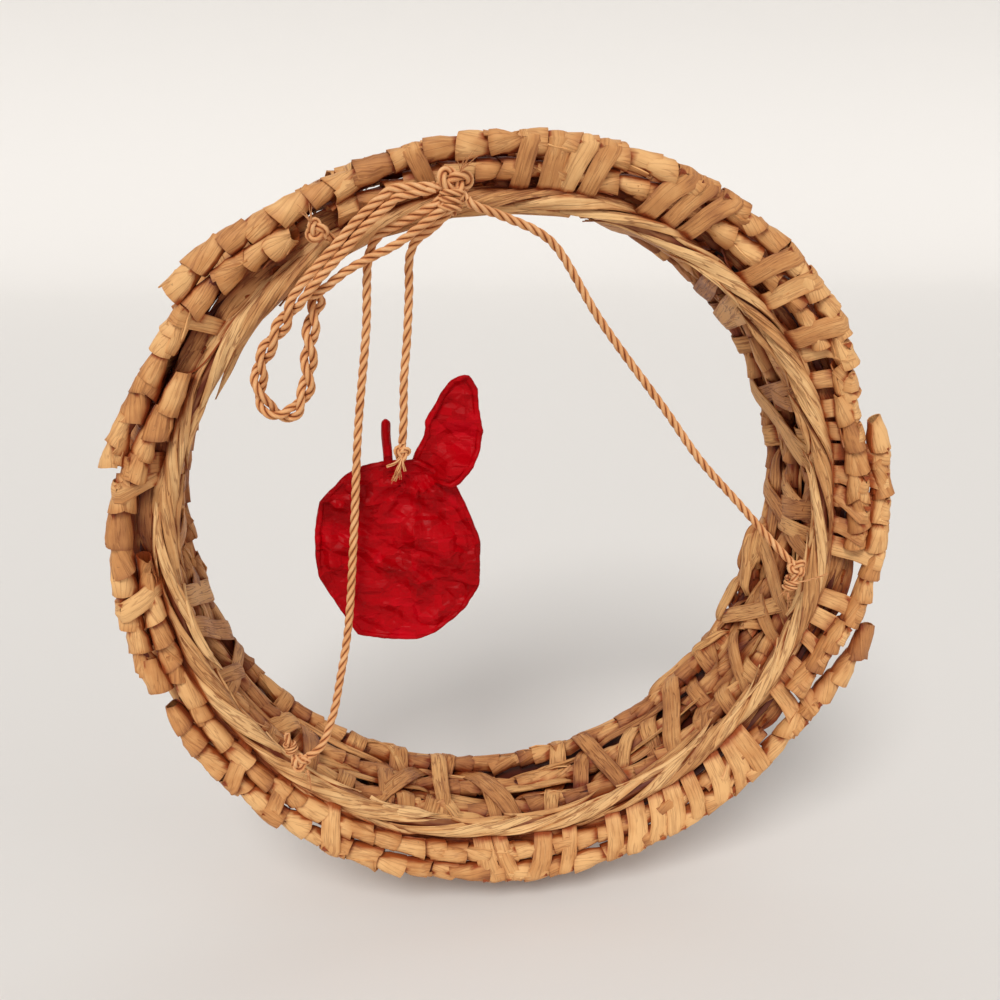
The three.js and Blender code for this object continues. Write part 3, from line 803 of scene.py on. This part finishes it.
# %% Cuffs
DEGREES_PER_MM = 180 / math.pi / 145.5
WRAP_TURN = 400         # degrees that one cuff winds round its rod
WIDE_END = 1.12         # cuff radius at its wide end, as a share of the rod's
NARROW_END = 0.62
CUFF_OVERLAP = 3.2
CUFF_STATIONS = 12
SEAM_LIFT = 0.5         # how far the end of the wound leaf stands off its start, in millimetres
OVAL = 0.34             # how far a cuff is pressed out of round
RUCKS = 0.2
CORE_SHARE = 0.66       # radius of a rod's heart, as a share of the rod's


def downwards(angle):
    """1 on the right of the hoop, where down is against the angle, and -1 on the left."""
    return 1 if math.cos(math.radians(angle)) > 0 else -1


def cuff(work, angle, path, radius, width, across=4, along=18):
    """One flared turn of leaf round a rod. Its wide end looks down on both sides of the hoop."""
    draw = work.draw
    start = draw.uniform(0, 360)
    tilt = draw.uniform(0.2, 1.8) * DEGREES_PER_MM
    askew = Vector((draw.uniform(-0.7, 0.7), draw.uniform(-0.5, 0.5)))
    high_side = draw.uniform(0, WHOLE_TURN)
    drift = draw.uniform(-2.6, 2.6) * DEGREES_PER_MM
    swell = draw.uniform(0.86, 1.1)
    flat_side = draw.uniform(0, math.pi)
    middle = (WIDE_END + NARROW_END) / 2 * radius * swell
    stations = []
    for k in range(CUFF_STATIONS):
        share = k / (CUFF_STATIONS - 1)
        turn = math.radians(start + WRAP_TURN * share)
        here = angle + tilt * math.cos(turn - high_side) + drift * share
        r, depth = path(here)
        reach = (middle + SEAM_LIFT * share + OVAL * math.sin(2 * (turn - flat_side))
                 + RUCKS * math.sin(5 * turn))
        stations.append((here, *beside((r + askew.x, depth + askew.y), reach, turn), math.degrees(turn)))
    flare = math.degrees(math.asin((WIDE_END - NARROW_END) * radius / width))
    work.leaf(stations, width, ends=(0.85, 0.8), bow=draw.uniform(0.2, 0.8), roll=downwards(angle) * flare,
              ripple=0.24, across=across, along=along, fold=draw.uniform(0, 0.12), crosswise=True)


# %% [markdown]
# From many of the outer cuffs a flat strip goes on. It lies over the cuff at the front and goes inwards,
# a little upwards, until it is tucked under the crest. On the right nearly every cuff has one, with dark
# square gaps between the strips, and on the left about every fourth.

# %% Binding strips
OUTER_ROD = (145.75, -27.25)
MIDDLE_ROD = (137.70, -25.24)
OUTER_RADIUS = 4.25
MIDDLE_RADIUS = 3.75
MIDDLE_ARCS = {"middle_rod_upper": (34, 118), "middle_rod_lower": (180, 318)}
CREST = (127.39, -21.76)


def over_middle_rod(angle):
    return any(start <= angle % 360 <= end for start, end in MIDDLE_ARCS.values())


def binding_strip(work, angle, path, radius, width):
    """A strip that lies round the front of the outer rod and goes on inwards, under the crest."""
    draw = work.draw
    reach = radius * 1.04 + 0.35
    lean = downwards(angle) * draw.uniform(0.8, 4.2)
    stations = [(angle, *beside(path(angle), reach, math.radians(turn)), turn)
                for turn in (105, 70, 35, 0, -30, -60, -82)]
    lift = draw.uniform(-0.4, 0.6)
    crossing_depth = MIDDLE_ROD[1] - MIDDLE_RADIUS - 1.1 if over_middle_rod(angle) else -26.0
    crest_radius = CREST[0] - DRIFT_LEFT * math.cos(math.radians(angle))
    crossing_radius = min(MIDDLE_ROD[0] + 1.5, path(angle)[0] - 3)
    stations.append((angle + lean * 0.45, crossing_radius, crossing_depth + lift, -97))
    stations.append((angle + lean * 0.75, crest_radius + 5.5, min(-23.5, crossing_depth + 3.5), -108))
    stations.append((angle + lean, crest_radius + 0.8, -17.0, -130))
    work.leaf(stations, width, ends=(0.9, 0.9), bow=draw.uniform(0.0, 0.6), ripple=0.35, across=5, along=28,
              tint=draw.uniform(0, 0.9))


def binding_chance(angle):
    """How likely a cuff goes on as a strip: nearly always on the right, less on the left."""
    turned = (angle + 90) % 360 - 90
    if turned < 48:
        return 0.9
    if turned < 120:
        return 0.45
    return 0.26 if turned < 255 else 0.55


def cuffed_rod(work, start, end, path, radius, pitch, chance=None, across=4, along=18):
    """Cuffs one after another from one angle to the other, some of which go on as binding strips."""
    inset = 1.5 * DEGREES_PER_MM
    work.core(start + inset, end - inset, path, radius * CORE_SHARE)
    angle = start
    while angle < end - 0.4 * pitch * DEGREES_PER_MM:
        length = pitch * work.draw.uniform(0.72, 1.35)
        middle = angle + length / 2 * DEGREES_PER_MM
        on_the_rim = -13 < path(middle)[0] - OUTER_ROD[0] < 1
        cuff(work, middle, path, radius, length + CUFF_OVERLAP, across, along)
        if chance and on_the_rim and work.draw.random() < chance(middle):
            binding_strip(work, middle, path, radius, min(length, work.draw.uniform(6.5, 9.2)))
        angle += length * DEGREES_PER_MM


# %% [markdown]
# The five outer rods lie end over end. Where one begins, it is tucked inside the end of the next, and
# each has a loose end that stands off the hoop. So a rod's distance from the middle changes smoothly
# near its ends, in the same way as its solid's does.

# %% Outer and middle rods
TUCKED_IN = -(OUTER_RADIUS + MIDDLE_RADIUS + CLEARANCE)
LOOSE_END = 7.0
leaf_works = []


def ease(angle, start, end, low_value, high_value):
    """Goes smoothly from one value to the other between two angles."""
    return low_value + (high_value - low_value) * smooth_share((angle - start) / (end - start))


OUTER_ARCS = {
    "wrapped_rod_upper": (-2, 139, lambda a: ease(a, 19, 38, TUCKED_IN - 0.5, 0)
                          + ease(a, 118, 139, 0, LOOSE_END + 0.5)),
    "wrapped_rod_right": (-30, 18, lambda a: ease(a, -28, -8, TUCKED_IN - 1.2, 0) + ease(a, 8, 18, 0, 1.5)),
    "wrapped_rod_lower": (204, 341, lambda a: ease(a, 326, 341, 0, LOOSE_END)),
    "wrapped_rod_upper_left": (124, 166, lambda a: ease(a, 124, 139, TUCKED_IN + 2.5, 0)
                               + ease(a, 154, 166, 0, LOOSE_END - 2.5)),
    "wrapped_rod_left": (150, 200.5, lambda a: ease(a, 152, 174, TUCKED_IN - 0.5, 0)),
}


def wind_rod(name, look, place, *way):
    """A rod whose cuffs and strips are gathered for later."""
    work = LeafWork(name, look, place)
    cuffed_rod(work, *way)
    leaf_works.append(work)


for rod_name, (start, end, shift) in OUTER_ARCS.items():
    wind_rod(rod_name, WRAP_FINISH, on_rim, start, end, lambda a: (OUTER_ROD[0] + shift(a), OUTER_ROD[1]),
             OUTER_RADIUS * 0.86, 10.0, binding_chance)
for rod_name, (start, end) in MIDDLE_ARCS.items():
    wind_rod(rod_name, WRAP_FINISH, on_rim, start, end, lambda a: MIDDLE_ROD, MIDDLE_RADIUS * 0.88, 10.0)
print("outer and middle rods:", len(leaf_works))

# %% [markdown]
# ## Places on the woven wall
# The wall of the hoop leans inwards towards the back. A place on it is an angle, a distance along the
# wall from its front edge, and a height over its middle, which is more than zero on the inside.

# %% Wall places
WALL_FRONT = Vector((137.20, -20.29))
WALL_LEAN = math.radians(5)
ALONG_WALL = Vector((-math.sin(WALL_LEAN), math.cos(WALL_LEAN)))
ACROSS_WALL = Vector((-math.cos(WALL_LEAN), -math.sin(WALL_LEAN)))
WALL_DEPTH = 50.0
FACING_IN = 185
FACING_OUT = 5
INNER_RADIUS = 3.5
SIDE_RADIUS = 4.0
INNER_HEIGHT = 6.8
SIDE_HEIGHT = -7.3
INNER_RODS = {"inner_rod_front": 11.5, "inner_rod_middle": 26.0, "inner_rod_rear": 40.6}
SIDE_RODS = {"side_rod_front": 10.0, "side_rod_middle": 25.0, "side_rod_rear": 40.0}


def on_wall(along, height):
    """Radius and depth of a place on the wall."""
    return tuple(WALL_FRONT + ALONG_WALL * along + ACROSS_WALL * height)


def wall_station(angle, along, height, facing=FACING_IN):
    return (angle, *on_wall(along, height), facing)


for rod_name, along in INNER_RODS.items():
    wind_rod(rod_name, INNER_SHADED_FINISH, on_band, 0, 360, lambda a: on_wall(along, INNER_HEIGHT),
             INNER_RADIUS * 0.88, 11.5, None, 3, 14)
for rod_name, along in SIDE_RODS.items():
    wind_rod(rod_name, WRAP_FINISH, on_band, 0, 360, lambda a: on_wall(along, SIDE_HEIGHT),
             SIDE_RADIUS * 0.94, 12.5, None, 3, 12)

# %% [markdown]
# ## The woven wall
# Behind the rods is the wall that they are bound to. Its heart is a leaning band painted dark, as painted
# shade for the deep gaps. On it lie strips that cross the inner and outer rods from front to back, now over
# a rod and now under it, and long blades that run round the hoop between the rods and under the binding
# strips.

# %% Wall helpers
OVER_ROD = 10.8         # height of a strip that passes over an inner rod
UNDER_ROD = 3.4
HALF_HEART = 1.2        # half the thickness of the wall's heart
HEART_STEPS = 120


def wall_heart(work):
    """The band in the middle of the wall, painted dark as painted shade for the gaps."""
    corners = [(0.0, HALF_HEART), (WALL_DEPTH - 1, HALF_HEART), (WALL_DEPTH, 0),
               (WALL_DEPTH - 1, -HALF_HEART), (0.0, -HALF_HEART), (-1, 0)]

    def place(u, v):
        along, height = corners[round(u * len(corners)) % len(corners)]
        return on_band(360 * v if v < 1 else 0, *on_wall(along, height))

    for vert in skin(work.mesh, len(corners), HEART_STEPS, place):
        vert[work.tint] = CORE_SHADE_TINT


def crossing(work, angle, width, lean_angle, side, overs):
    """A strip from the front of the wall to its back that passes over or under each rod."""
    draw = work.draw
    rods = list((INNER_RODS if side > 0 else SIDE_RODS).values())
    facing = FACING_IN if side > 0 else FACING_OUT
    top = OVER_ROD if side > 0 else OVER_ROD + 1.0
    stations = [wall_station(angle, -1, side * 4.5, facing)]
    for along, over in zip(rods, overs):
        here = angle + lean_angle * along / WALL_DEPTH
        height = (top if over else UNDER_ROD) + draw.uniform(0, 0.6)
        stations.append(wall_station(here, along, side * height, facing))
    stations.append(wall_station(angle + lean_angle, WALL_DEPTH + 1.0, side * 2.0, facing))
    work.leaf(stations, width, ends=(0.75, 0.75), bow=draw.uniform(-0.2, 0.5), along=16)


def long_blade(work, start, end, along_from, along_to, height, width, facing_shift, tint=None):
    """A long leaf that runs round the inside of the hoop."""
    facing = FACING_IN + facing_shift
    halfway = (along_from + along_to) / 2
    way = ((0, along_from, -4), (0.15, along_from, 0), (0.5, halfway, 0.6), (0.85, along_to, 0),
           (1, along_to, -4))
    stations = [wall_station(start + (end - start) * share, along, height + rise, facing)
                for share, along, rise in way]
    work.leaf(stations, width, ends=(0.5, 0.3), bow=work.draw.uniform(0.2, 0.9), along=20, tint=tint)


wall = LeafWork("woven_wall", WALL_SHADED_FINISH, on_band)
leaf_works.append(wall)
wall_heart(wall)

# %% Crossing strips
pick = wall.draw.uniform
chance = wall.draw.random
angle = 0.0
while angle < 360:
    first = chance() < 0.5
    overs = [first, not first, first] if chance() < 0.5 else [True, True, chance() < 0.5]
    crossing(wall, angle, pick(6.0, 9.5), pick(-20, 20), 1, overs)
    angle += pick(3.4, 6.5)
angle = 0.0
while angle < 360:
    first = chance() < 0.5
    crossing(wall, angle, pick(7.0, 10.0), pick(-3, 3), -1, [first, not first, first])
    angle += pick(4.5, 6.5)
print("strips on the wall:", wall.strips)

# %% [markdown]
# Rows of blades follow, each with its place along the wall and its height. A few fuller ones make a bulge
# at the lower right, and under the binding strips lie three rows that close the gap to the outer rim.

# %% Long blades
BLADE_ROWS = ((3.5, 6.5), (5.5, 8.0), (18.5, 5.5), (20.0, 7.5), (33.0, 5.5), (34.0, 7.5), (47.0, 3.5))
BULGE_BLADES = 9
BULGE_START = -40
BULGE_PITCH = 3.0       # degrees from blade to blade
UNDER_ROWS = ((142.5, -18.5, -42, 50), (136.5, -20.5, 0, 360), (133.5, -22.0, 60, 300))
for along, height in BLADE_ROWS:
    angle = pick(0, 14)
    while angle < 360:
        span = pick(13, 28)
        thin = chance() < 0.25
        long_blade(wall, angle, angle + span, along + pick(-2, 2), along + pick(-5, 5) * (along < 40),
                   height + pick(-1.5, 1.5), pick(2.4, 3.4) if thin else pick(4.5, 7.5), pick(-30, 30),
                   pick(0, 0.4) if thin else None)
        angle += span * pick(0.75, 1.5)
for i in range(BULGE_BLADES):
    start = BULGE_START + BULGE_PITCH * i
    long_blade(wall, start, start + pick(8, 15), pick(36, 45), pick(34, 47), pick(9.5, 13.0), pick(3.5, 6.5),
               pick(-50, 40))
for radius, depth, start, end in UNDER_ROWS:
    angle = start
    while angle < end:
        span = pick(12, 20)
        rise = pick(-1.5, 0.5)
        stations = [(angle, radius, depth + 2, -95), (angle + span / 2, radius, depth + rise, -92),
                    (angle + span, radius + pick(-2, 2), depth + 2, -95)]
        wall.leaf(stations, pick(6.0, 9.0), ends=(0.6, 0.5), bow=0.5, along=14, tint=pick(0.3, 1.1))
        angle += span * pick(0.7, 0.95)
print("strips and blades on the wall:", wall.strips)

# %% [markdown]
# ## The crest
# The palest blades are twisted together along the front. The twist has five strands, and each strand
# shows as one long blade at a time: it comes up on the outer side, crosses the front on a slant and goes
# under on the inner side, where it ends in a point. Narrow blades and thin stalks lie along its sides.

# %% Crest
CREST_TURNS = 7
CREST_STRANDS = 5
CREST_REACH = 3.4       # from the middle of the twist to the middle of a blade
CREST_STATIONS = 9


def crest_blade(work, start, phase, span, width):
    """One blade of the twist, from where it comes up on the outer side."""
    draw = work.draw
    degrees_long = span / CREST_TURNS
    high = CREST_REACH + draw.uniform(-0.5, 0.7)
    stations = []
    for k in range(CREST_STATIONS):
        share = k / (CREST_STATIONS - 1)
        turn = phase - span * share
        reach = high * (0.6 + 0.4 * math.sin(math.pi * min(share * 1.15, 1)))
        stations.append((start + degrees_long * share, *beside(CREST, reach, math.radians(turn)), turn))
    work.leaf(stations, width, ends=(0.6, 0.1), bow=draw.uniform(0.7, 1.6), ripple=0.45, across=6, along=34,
              tint=draw.uniform(0, 0.9), fold=draw.uniform(0, 0.22))


def side_blade(work, start, span, side):
    """A narrow blade that lies along the crest, outside it or inside it."""
    draw = work.draw
    r = CREST[0] + side * draw.uniform(2.8, 4.2 + side * 0.8)
    depth = CREST[1] - draw.uniform(-1.0, 2.2)
    facing = -90 + side * draw.uniform(10, 45)
    stations = [(start, r, depth + 2.5, facing), (start + span * 0.2, r, depth, facing),
                (start + span * 0.7, r - draw.uniform(-1, 2.0), depth, facing),
                (start + span, r - draw.uniform(0, 3.0), depth + 2.5, facing)]
    stalk = draw.random() < 0.35
    width = draw.uniform(1.6, 2.4) if stalk else draw.uniform(2.8, 5.5)
    work.leaf(stations, width, ends=(0.6, 0.15), bow=width * 0.4 if stalk else draw.uniform(0.3, 0.9),
              ripple=0.4, along=24, tint=draw.uniform(0, 0.2 if stalk else 1.1))


crest_work = LeafWork("crest_twist", CREST_FINISH, on_band)
leaf_works.append(crest_work)
crest_work.core(0, 360, lambda a: CREST, 2.6, 1.2)
pick = crest_work.draw.uniform
blades = CREST_TURNS * CREST_STRANDS
for i in range(blades):
    start = 360 * i / blades + pick(-3, 3)
    crest_blade(crest_work, start, 40 + pick(-25, 25), pick(225, 290), pick(3.6, 6.4))
for side in (1, 1, -1):
    angle = pick(0, 10)
    while angle < 360:
        span = pick(12, 24)
        side_blade(crest_work, angle, span, side)
        angle += span * pick(0.6, 1.3)
print("blades on the crest:", crest_work.strips)

# %% [markdown]
# ## Shade in the gaps
# Deep between the strips the leaf is dark and reddish: little light gets in, and what does has been
# thrown back by leaf after leaf. Part of that is left to the light, and part is put into the finish. From
# each corner of each strip a few rays look outwards, and the share that soon meets another strip is kept
# as a number called shade.

# %% Shade
SHADE_REACH = 16 * MM
SHADE_LIFT = 0.9 * MM   # a ray starts clear of the strip's own ripples
SHADE_RAYS = 9


def look_directions(count):
    """Directions spread over a half sphere round +Z, closer together near its top."""
    found = []
    for i in range(count):
        height = math.sqrt((i + 0.5) / count)
        turn = i * math.pi * (3 - math.sqrt(5))
        across = math.sqrt(1 - height * height)
        found.append(Vector((across * math.cos(turn), across * math.sin(turn), height)))
    return found


def shade_strips(works):
    """Stores at each corner how much of its outlook is shut off by the hoop."""
    places = []
    faces = []
    for work in works:
        work.mesh.normal_update()
        work.mesh.verts.index_update()
        first = len(places)
        places += [vert.co.copy() for vert in work.mesh.verts]
        faces += [[first + vert.index for vert in face.verts] for face in work.mesh.faces]
    tree = BVHTree.FromPolygons(places, faces)
    looks = look_directions(SHADE_RAYS)
    for work in works:
        for vert in work.mesh.verts:
            turn = vert.normal.to_track_quat("Z", "Y")
            origin = vert.co + vert.normal * SHADE_LIFT
            shut = 0.0
            for look in looks:
                distance = tree.ray_cast(origin, turn @ look, SHADE_REACH)[3]
                if distance is not None:
                    shut += 1 - distance / SHADE_REACH
            vert[work.shade] = shut / SHADE_RAYS
    print("corners shaded:", len(places))


shade_strips(leaf_works)
for work in leaf_works:
    work.finish()

# %% [markdown]
# ## The apple
# The apple is a flat husk: two crumpled skins of crimson leaf, glued over a bent wire. Its outline has
# straight runs and blunt corners, where the wire was bent. A sphere's corners are spread out flat inside
# that outline, and its two halves stay a little apart in the middle. The skins are crumpled into flat
# plates, and long folds fan out from the foot of the leaf.

# %% Apple finish
def apple_finish(name, rough):
    finish = Finish(name, Specular_IOR_Level=0.08)
    place = finish.places()
    bent = finish.stretched(place, (1.0, 0.3, 1.0))
    large_height, large_tone = finish.plates(bent, 62.0)
    small_height, small_tone = finish.plates(finish.stretched(bent, (0.9, 1.0, 1.2)), 150.0)
    grain = finish.grain(place, (260, 260, 900), 4.0, 0.6)
    depth = large_tone * 0.16 + small_tone * 0.16 + grain * 0.2 + finish.noise(place, 40.0) * 0.6 - 0.06
    colour = finish.ramp(depth, [(0.15, (0.17, 0.0, 0.001)), (0.38, (0.33, 0.0, 0.002)),
                                 (0.58, (0.46, 0.0, 0.004)), (0.85, (0.64, 0.002, 0.014))])
    finish.surface(Base_Color=colour, Roughness=grain * 0.3 + rough)
    finish.relief(0.9, 0.006, large_height * 0.8 + small_height * 0.36 + grain * 0.05)
    return finish


APPLE_FINISH = apple_finish("apple_skin", 0.22)
TRIM_FINISH = apple_finish("apple_trim", 0.3)
print("finishes:", APPLE_FINISH.name, "and", TRIM_FINISH.name)

# %% Husk builder
APPLE_CORNERS = [
    (30.7, 3.0), (25.4, 17.0), (20.6, 26.8), (14.2, 31.8), (7.5, 35.5), (-4.4, 35.6), (-12.6, 33.9),
    (-18.7, 31.1), (-28.8, 21.0), (-31.0, 10.0), (-31.5, -2.0), (-30.7, -9.0), (-22.7, -23.6),
    (-16.9, -33.4), (-6.9, -35.7), (5.7, -37.0), (12.5, -34.8), (21.4, -28.0), (24.6, -24.8), (30.2, -15.8)]
LEAF_CORNERS = [
    (6.1, 22.6), (9.1, 17.7), (9.7, 10.2), (11.2, 1.4), (10.0, -5.5), (6.9, -11.2), (2.3, -16.5),
    (-0.8, -18.4), (-7.6, -18.5), (-12.8, -15.9), (-14.9, -11.6), (-13.7, -8.5), (-11.8, -4.7), (-9.4, 0.2),
    (-8.9, 5.8), (-5.9, 10.7), (-3.2, 15.4), (0.9, 20.9)]
LARGE_PLATE = 12.0      # width of a flat plate of the crumpled skin
SMALL_PLATE = 6.0
FOLDS_FROM = (7, 0, 33)
RIM_STEPS = 160
SKIN_GAP = 40           # how far apart the two skins' crumples are taken, so that they differ
WIRE_RADIUS = 1.15


def outline_reach(corners, turn):
    """How far the outline is from its middle in a direction, on the straight run between two corners."""
    heading = Vector((math.cos(turn), math.sin(turn)))
    for i, corner in enumerate(corners):
        a = Vector(corner)
        b = Vector(corners[(i + 1) % len(corners)])
        run = b - a
        cross = heading.x * run.y - heading.y * run.x
        reach = (a.x * run.y - a.y * run.x) / cross
        share = (a.x * heading.y - a.y * heading.x) / cross
        if reach > 0 and -1e-9 <= share <= 1 + 1e-9:
            return reach
    return 0.0


def facets(spot, size):
    """Height of a sheet of flat triangles, whose corners are pushed up and down at random."""
    spot = spot / size
    spot += Vector((noise.noise(spot * 0.7), 0, noise.noise(spot * 0.7 + Vector((5, 9, 2))))) * 0.5
    skewed = Vector((spot.x + spot.z * 0.577, 0, spot.z * 1.155))
    column = math.floor(skewed.x)
    row = math.floor(skewed.z)
    right = skewed.x - column
    up = skewed.z - row

    def corner(x, z):
        return noise.cell(Vector((x + 0.5, spot.y + 0.5, z + 0.5)))

    if right + up < 1:
        first = corner(column, row)
        return first + right * (corner(column + 1, row) - first) + up * (corner(column, row + 1) - first)
    last = corner(column + 1, row + 1)
    return (last + (1 - right) * (corner(column, row + 1) - last)
            + (1 - up) * (corner(column + 1, row) - last))


def crumple(spot, strength):
    """Height of a crumpled skin: large plates with smaller ones on them, and sharp folds between."""
    return strength * (facets(spot, LARGE_PLATE) * 3.0 + facets(spot, SMALL_PLATE) * 1.3 - 2.3)


def no_folds(flat):
    return 0.0


def shoulder_folds(flat):
    """Long folds that fan out over the body from the foot of the leaf."""
    away = flat - Vector(FOLDS_FROM)
    turn = math.atan2(away.z, away.x)
    wave = (turn * 2.3 + noise.noise(Vector((turn * 1.5, 0, 3))) * 0.8) % 1.0
    return (abs(wave - 0.5) * 4 - 1) * 1.5 * math.exp(-away.length / 30) * min(1.0, away.length / 8)


def husk(name, look, middle, corners, crown, rim, bend, strength, folds):
    """Two crumpled skins inside an outline, with a wired rim."""

    def flat_place(reach, turn):
        return Vector((reach * math.cos(turn), 0, reach * math.sin(turn)))

    mesh = bmesh.new()
    ball = bmesh.ops.create_uvsphere(mesh, u_segments=RIM_STEPS, v_segments=84, radius=1.0)["verts"]
    for vert in ball:
        turn = math.atan2(vert.co.y, vert.co.x)
        share = math.acos(min(1.0, abs(vert.co.z))) / (math.pi / 2)
        side = -1 if vert.co.z > 0 else 1
        flat = flat_place(outline_reach(corners, turn) * share, turn)
        swell = rim + (crown - rim) * (1 - share ** 2.4)
        lift = crumple(flat + Vector((0, side * SKIN_GAP, 0)), strength) + folds(flat)
        puff = (swell + lift * min(1.0, (1 - share) * 6)) * side if abs(vert.co.z) > 1e-6 else 0
        vert.co = from_middle(Vector(middle) + flat + Vector((0, puff + bend(flat), 0)))
    bmesh.ops.recalc_face_normals(mesh, faces=mesh.faces[:])
    rim_points = []
    for i in range(RIM_STEPS):
        turn = WHOLE_TURN * i / RIM_STEPS
        flat = flat_place(outline_reach(corners, turn) - 0.5, turn)
        pinch = 0.35 * noise.noise(flat / 3.0)
        rim_points.append(from_middle(Vector(middle) + flat + Vector((0, bend(flat) + pinch, 0))))

    def wire(u, v):
        i = round(v * RIM_STEPS) % RIM_STEPS
        ahead = (rim_points[(i + 1) % RIM_STEPS] - rim_points[max(i - 1, 0)]).normalized()
        back = Vector((0, 1, 0))
        thick = WIRE_RADIUS * (1 + 0.25 * noise.noise(rim_points[i] / MM / 2.5))
        return rim_points[i] + spoke(ahead.cross(back), back, WHOLE_TURN * u) * thick * MM

    skin(mesh, 8, RIM_STEPS, wire)
    finish_piece(mesh, name, look, sharp=55)


def no_bend(flat):
    """A flat husk."""
    return 0.25 * math.sin(flat.x / 9)


def leaf_bend(flat):
    """The right of the leaf's foot lies over the apple's shoulder, and the left goes down into it."""
    foot = smooth_share((-flat.z - 1) / 12)
    right = smooth_share((flat.x + 9) / 9)
    return -5.4 * foot * right + 1.5 * foot * (1 - right) - 1.0 * math.sin(flat.x / 7)


# %% Body and leaf
APPLE_PLACE = (-45.0, -19.0, 1.0)
LEAF_PLACE = (-24.5, -19.6, 46.0)
husk("apple_body", APPLE_FINISH, APPLE_PLACE, APPLE_CORNERS, 4.2, 0.9, no_bend, 1.0, shoulder_folds)
husk("apple_leaf", TRIM_FINISH, LEAF_PLACE, LEAF_CORNERS, 1.5, 0.6, leaf_bend, 0.5, no_folds)

# %% [markdown]
# The stem is a thin roll of the same crimson leaf, a little bent, with a round top.

# %% Stem
STEM_LINE = [(-48.0, -19.0, 33.5), (-48.2, -19.2, 40.0), (-48.8, -19.4, 47.0), (-48.7, -19.6, 53.0)]
STEM_DIAMETER = 3.5
STEM_STEPS = 24
stem_mesh = bmesh.new()
stem_points = [from_middle(point) for point in curve_through(STEM_LINE, STEM_STEPS + 1)]
stem_frames = carried_frames(stem_points)


def stem_place(u, v):
    point, across, up = stem_frames[round(v * STEM_STEPS)]
    turn = WHOLE_TURN * u
    end = min(1.0, math.sqrt(max(0.0, 1 - max(0.0, (v - 0.88) / 0.125) ** 2)) + 0.02)
    thick = STEM_DIAMETER / 2 * end * (1 + 0.09 * math.sin(3 * turn + 4 * v))
    return point + spoke(across, up, turn) * thick * MM


skin(stem_mesh, 16, STEM_STEPS, stem_place)
finish_piece(stem_mesh, "apple_stem", TRIM_FINISH, sharp=60)

# %% [markdown]
# ## Floor, backdrop and light
# A pale floor just under the wreath and a pale wall far behind it keep the picture plain. The light is
# soft and comes from above and in front, as in a light tent.


# %% Stage
FLOOR_GAP = 12 * MM
FLOOR_FRONT = -4.0
FLOOR_BACK = 3.0
COVE_RADIUS = 1.2
COVE_STEPS = 12
BACKDROP_HEIGHT = 5.0
STAGE_WIDTH = 14.0
FLOOR_COLOUR = (0.80, 0.785, 0.765, 1)


def cove_profile():
    """The floor, the round cove behind it and the wall above, as depth and height."""
    ground = solid_box[0].z - FLOOR_GAP
    profile = [(FLOOR_FRONT, ground)]
    for i in range(COVE_STEPS + 1):
        turn = math.pi / 2 * i / COVE_STEPS
        profile.append((FLOOR_BACK + COVE_RADIUS * math.sin(turn),
                        ground + COVE_RADIUS * (1 - math.cos(turn))))
    return [*profile, (FLOOR_BACK + COVE_RADIUS, ground + BACKDROP_HEIGHT)]


profile = cove_profile()
floor_mesh = bmesh.new()
for vert in bmesh.ops.create_grid(floor_mesh, x_segments=1, y_segments=len(profile) - 1, size=0.5)["verts"]:
    depth, height = profile[round((vert.co.y + 0.5) * (len(profile) - 1))]
    vert.co = (vert.co.x * STAGE_WIDTH, depth, height)
floor_data = bpy.data.meshes.new("floor")
floor_mesh.to_mesh(floor_data)
floor_mesh.free()
floor_data.shade_smooth()
floor = bpy.data.objects.new("floor", floor_data)
floor_data.materials.append(Finish("floor", Roughness=0.9, Base_Color=FLOOR_COLOUR).material)
bpy.context.scene.collection.objects.link(floor)
floor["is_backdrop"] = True
print("floor at", profile[0][1])

# %% Light
WORLD_COLOUR = (0.97, 0.94, 0.92, 1)
WORLD_STRENGTH = 0.40
world = bpy.data.worlds.new("studio")
world.use_nodes = True
background = world.node_tree.nodes["Background"]
background.inputs["Color"].default_value = WORLD_COLOUR
background.inputs["Strength"].default_value = WORLD_STRENGTH
bpy.context.scene.world = world
bpy.context.scene.view_settings.view_transform = "Standard"


def soft_sun(name, direction, spread, power, colour):
    """An even light from one direction, with shadows as soft as its spread in degrees."""
    lamp = bpy.data.lights.new(name, "SUN")
    lamp.angle = math.radians(spread)
    lamp.energy = power
    lamp.color = colour
    light = bpy.data.objects.new(name, lamp)
    light.rotation_euler = Vector(direction).to_track_quat("-Z", "Y").to_euler()
    bpy.context.scene.collection.objects.link(light)
    print(name, "is as wide as", spread, "degrees")


soft_sun("key_light", (0.35, 0.75, -0.9), 26, 1.88, (1.0, 0.98, 0.95))
soft_sun("fill_light", (-0.8, 0.7, -0.3), 60, 0.45, (1.0, 0.97, 0.95))
soft_sun("back_light", (-0.2, -0.8, -0.6), 60, 0.35, (1.0, 0.98, 0.96))

# %% [markdown]
# ## Sizes
# The box of the finished pieces is written beside the box of the solids, so the two can be compared.

finished_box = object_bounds()
print("pieces from", finished_box[0], "to", finished_box[1])
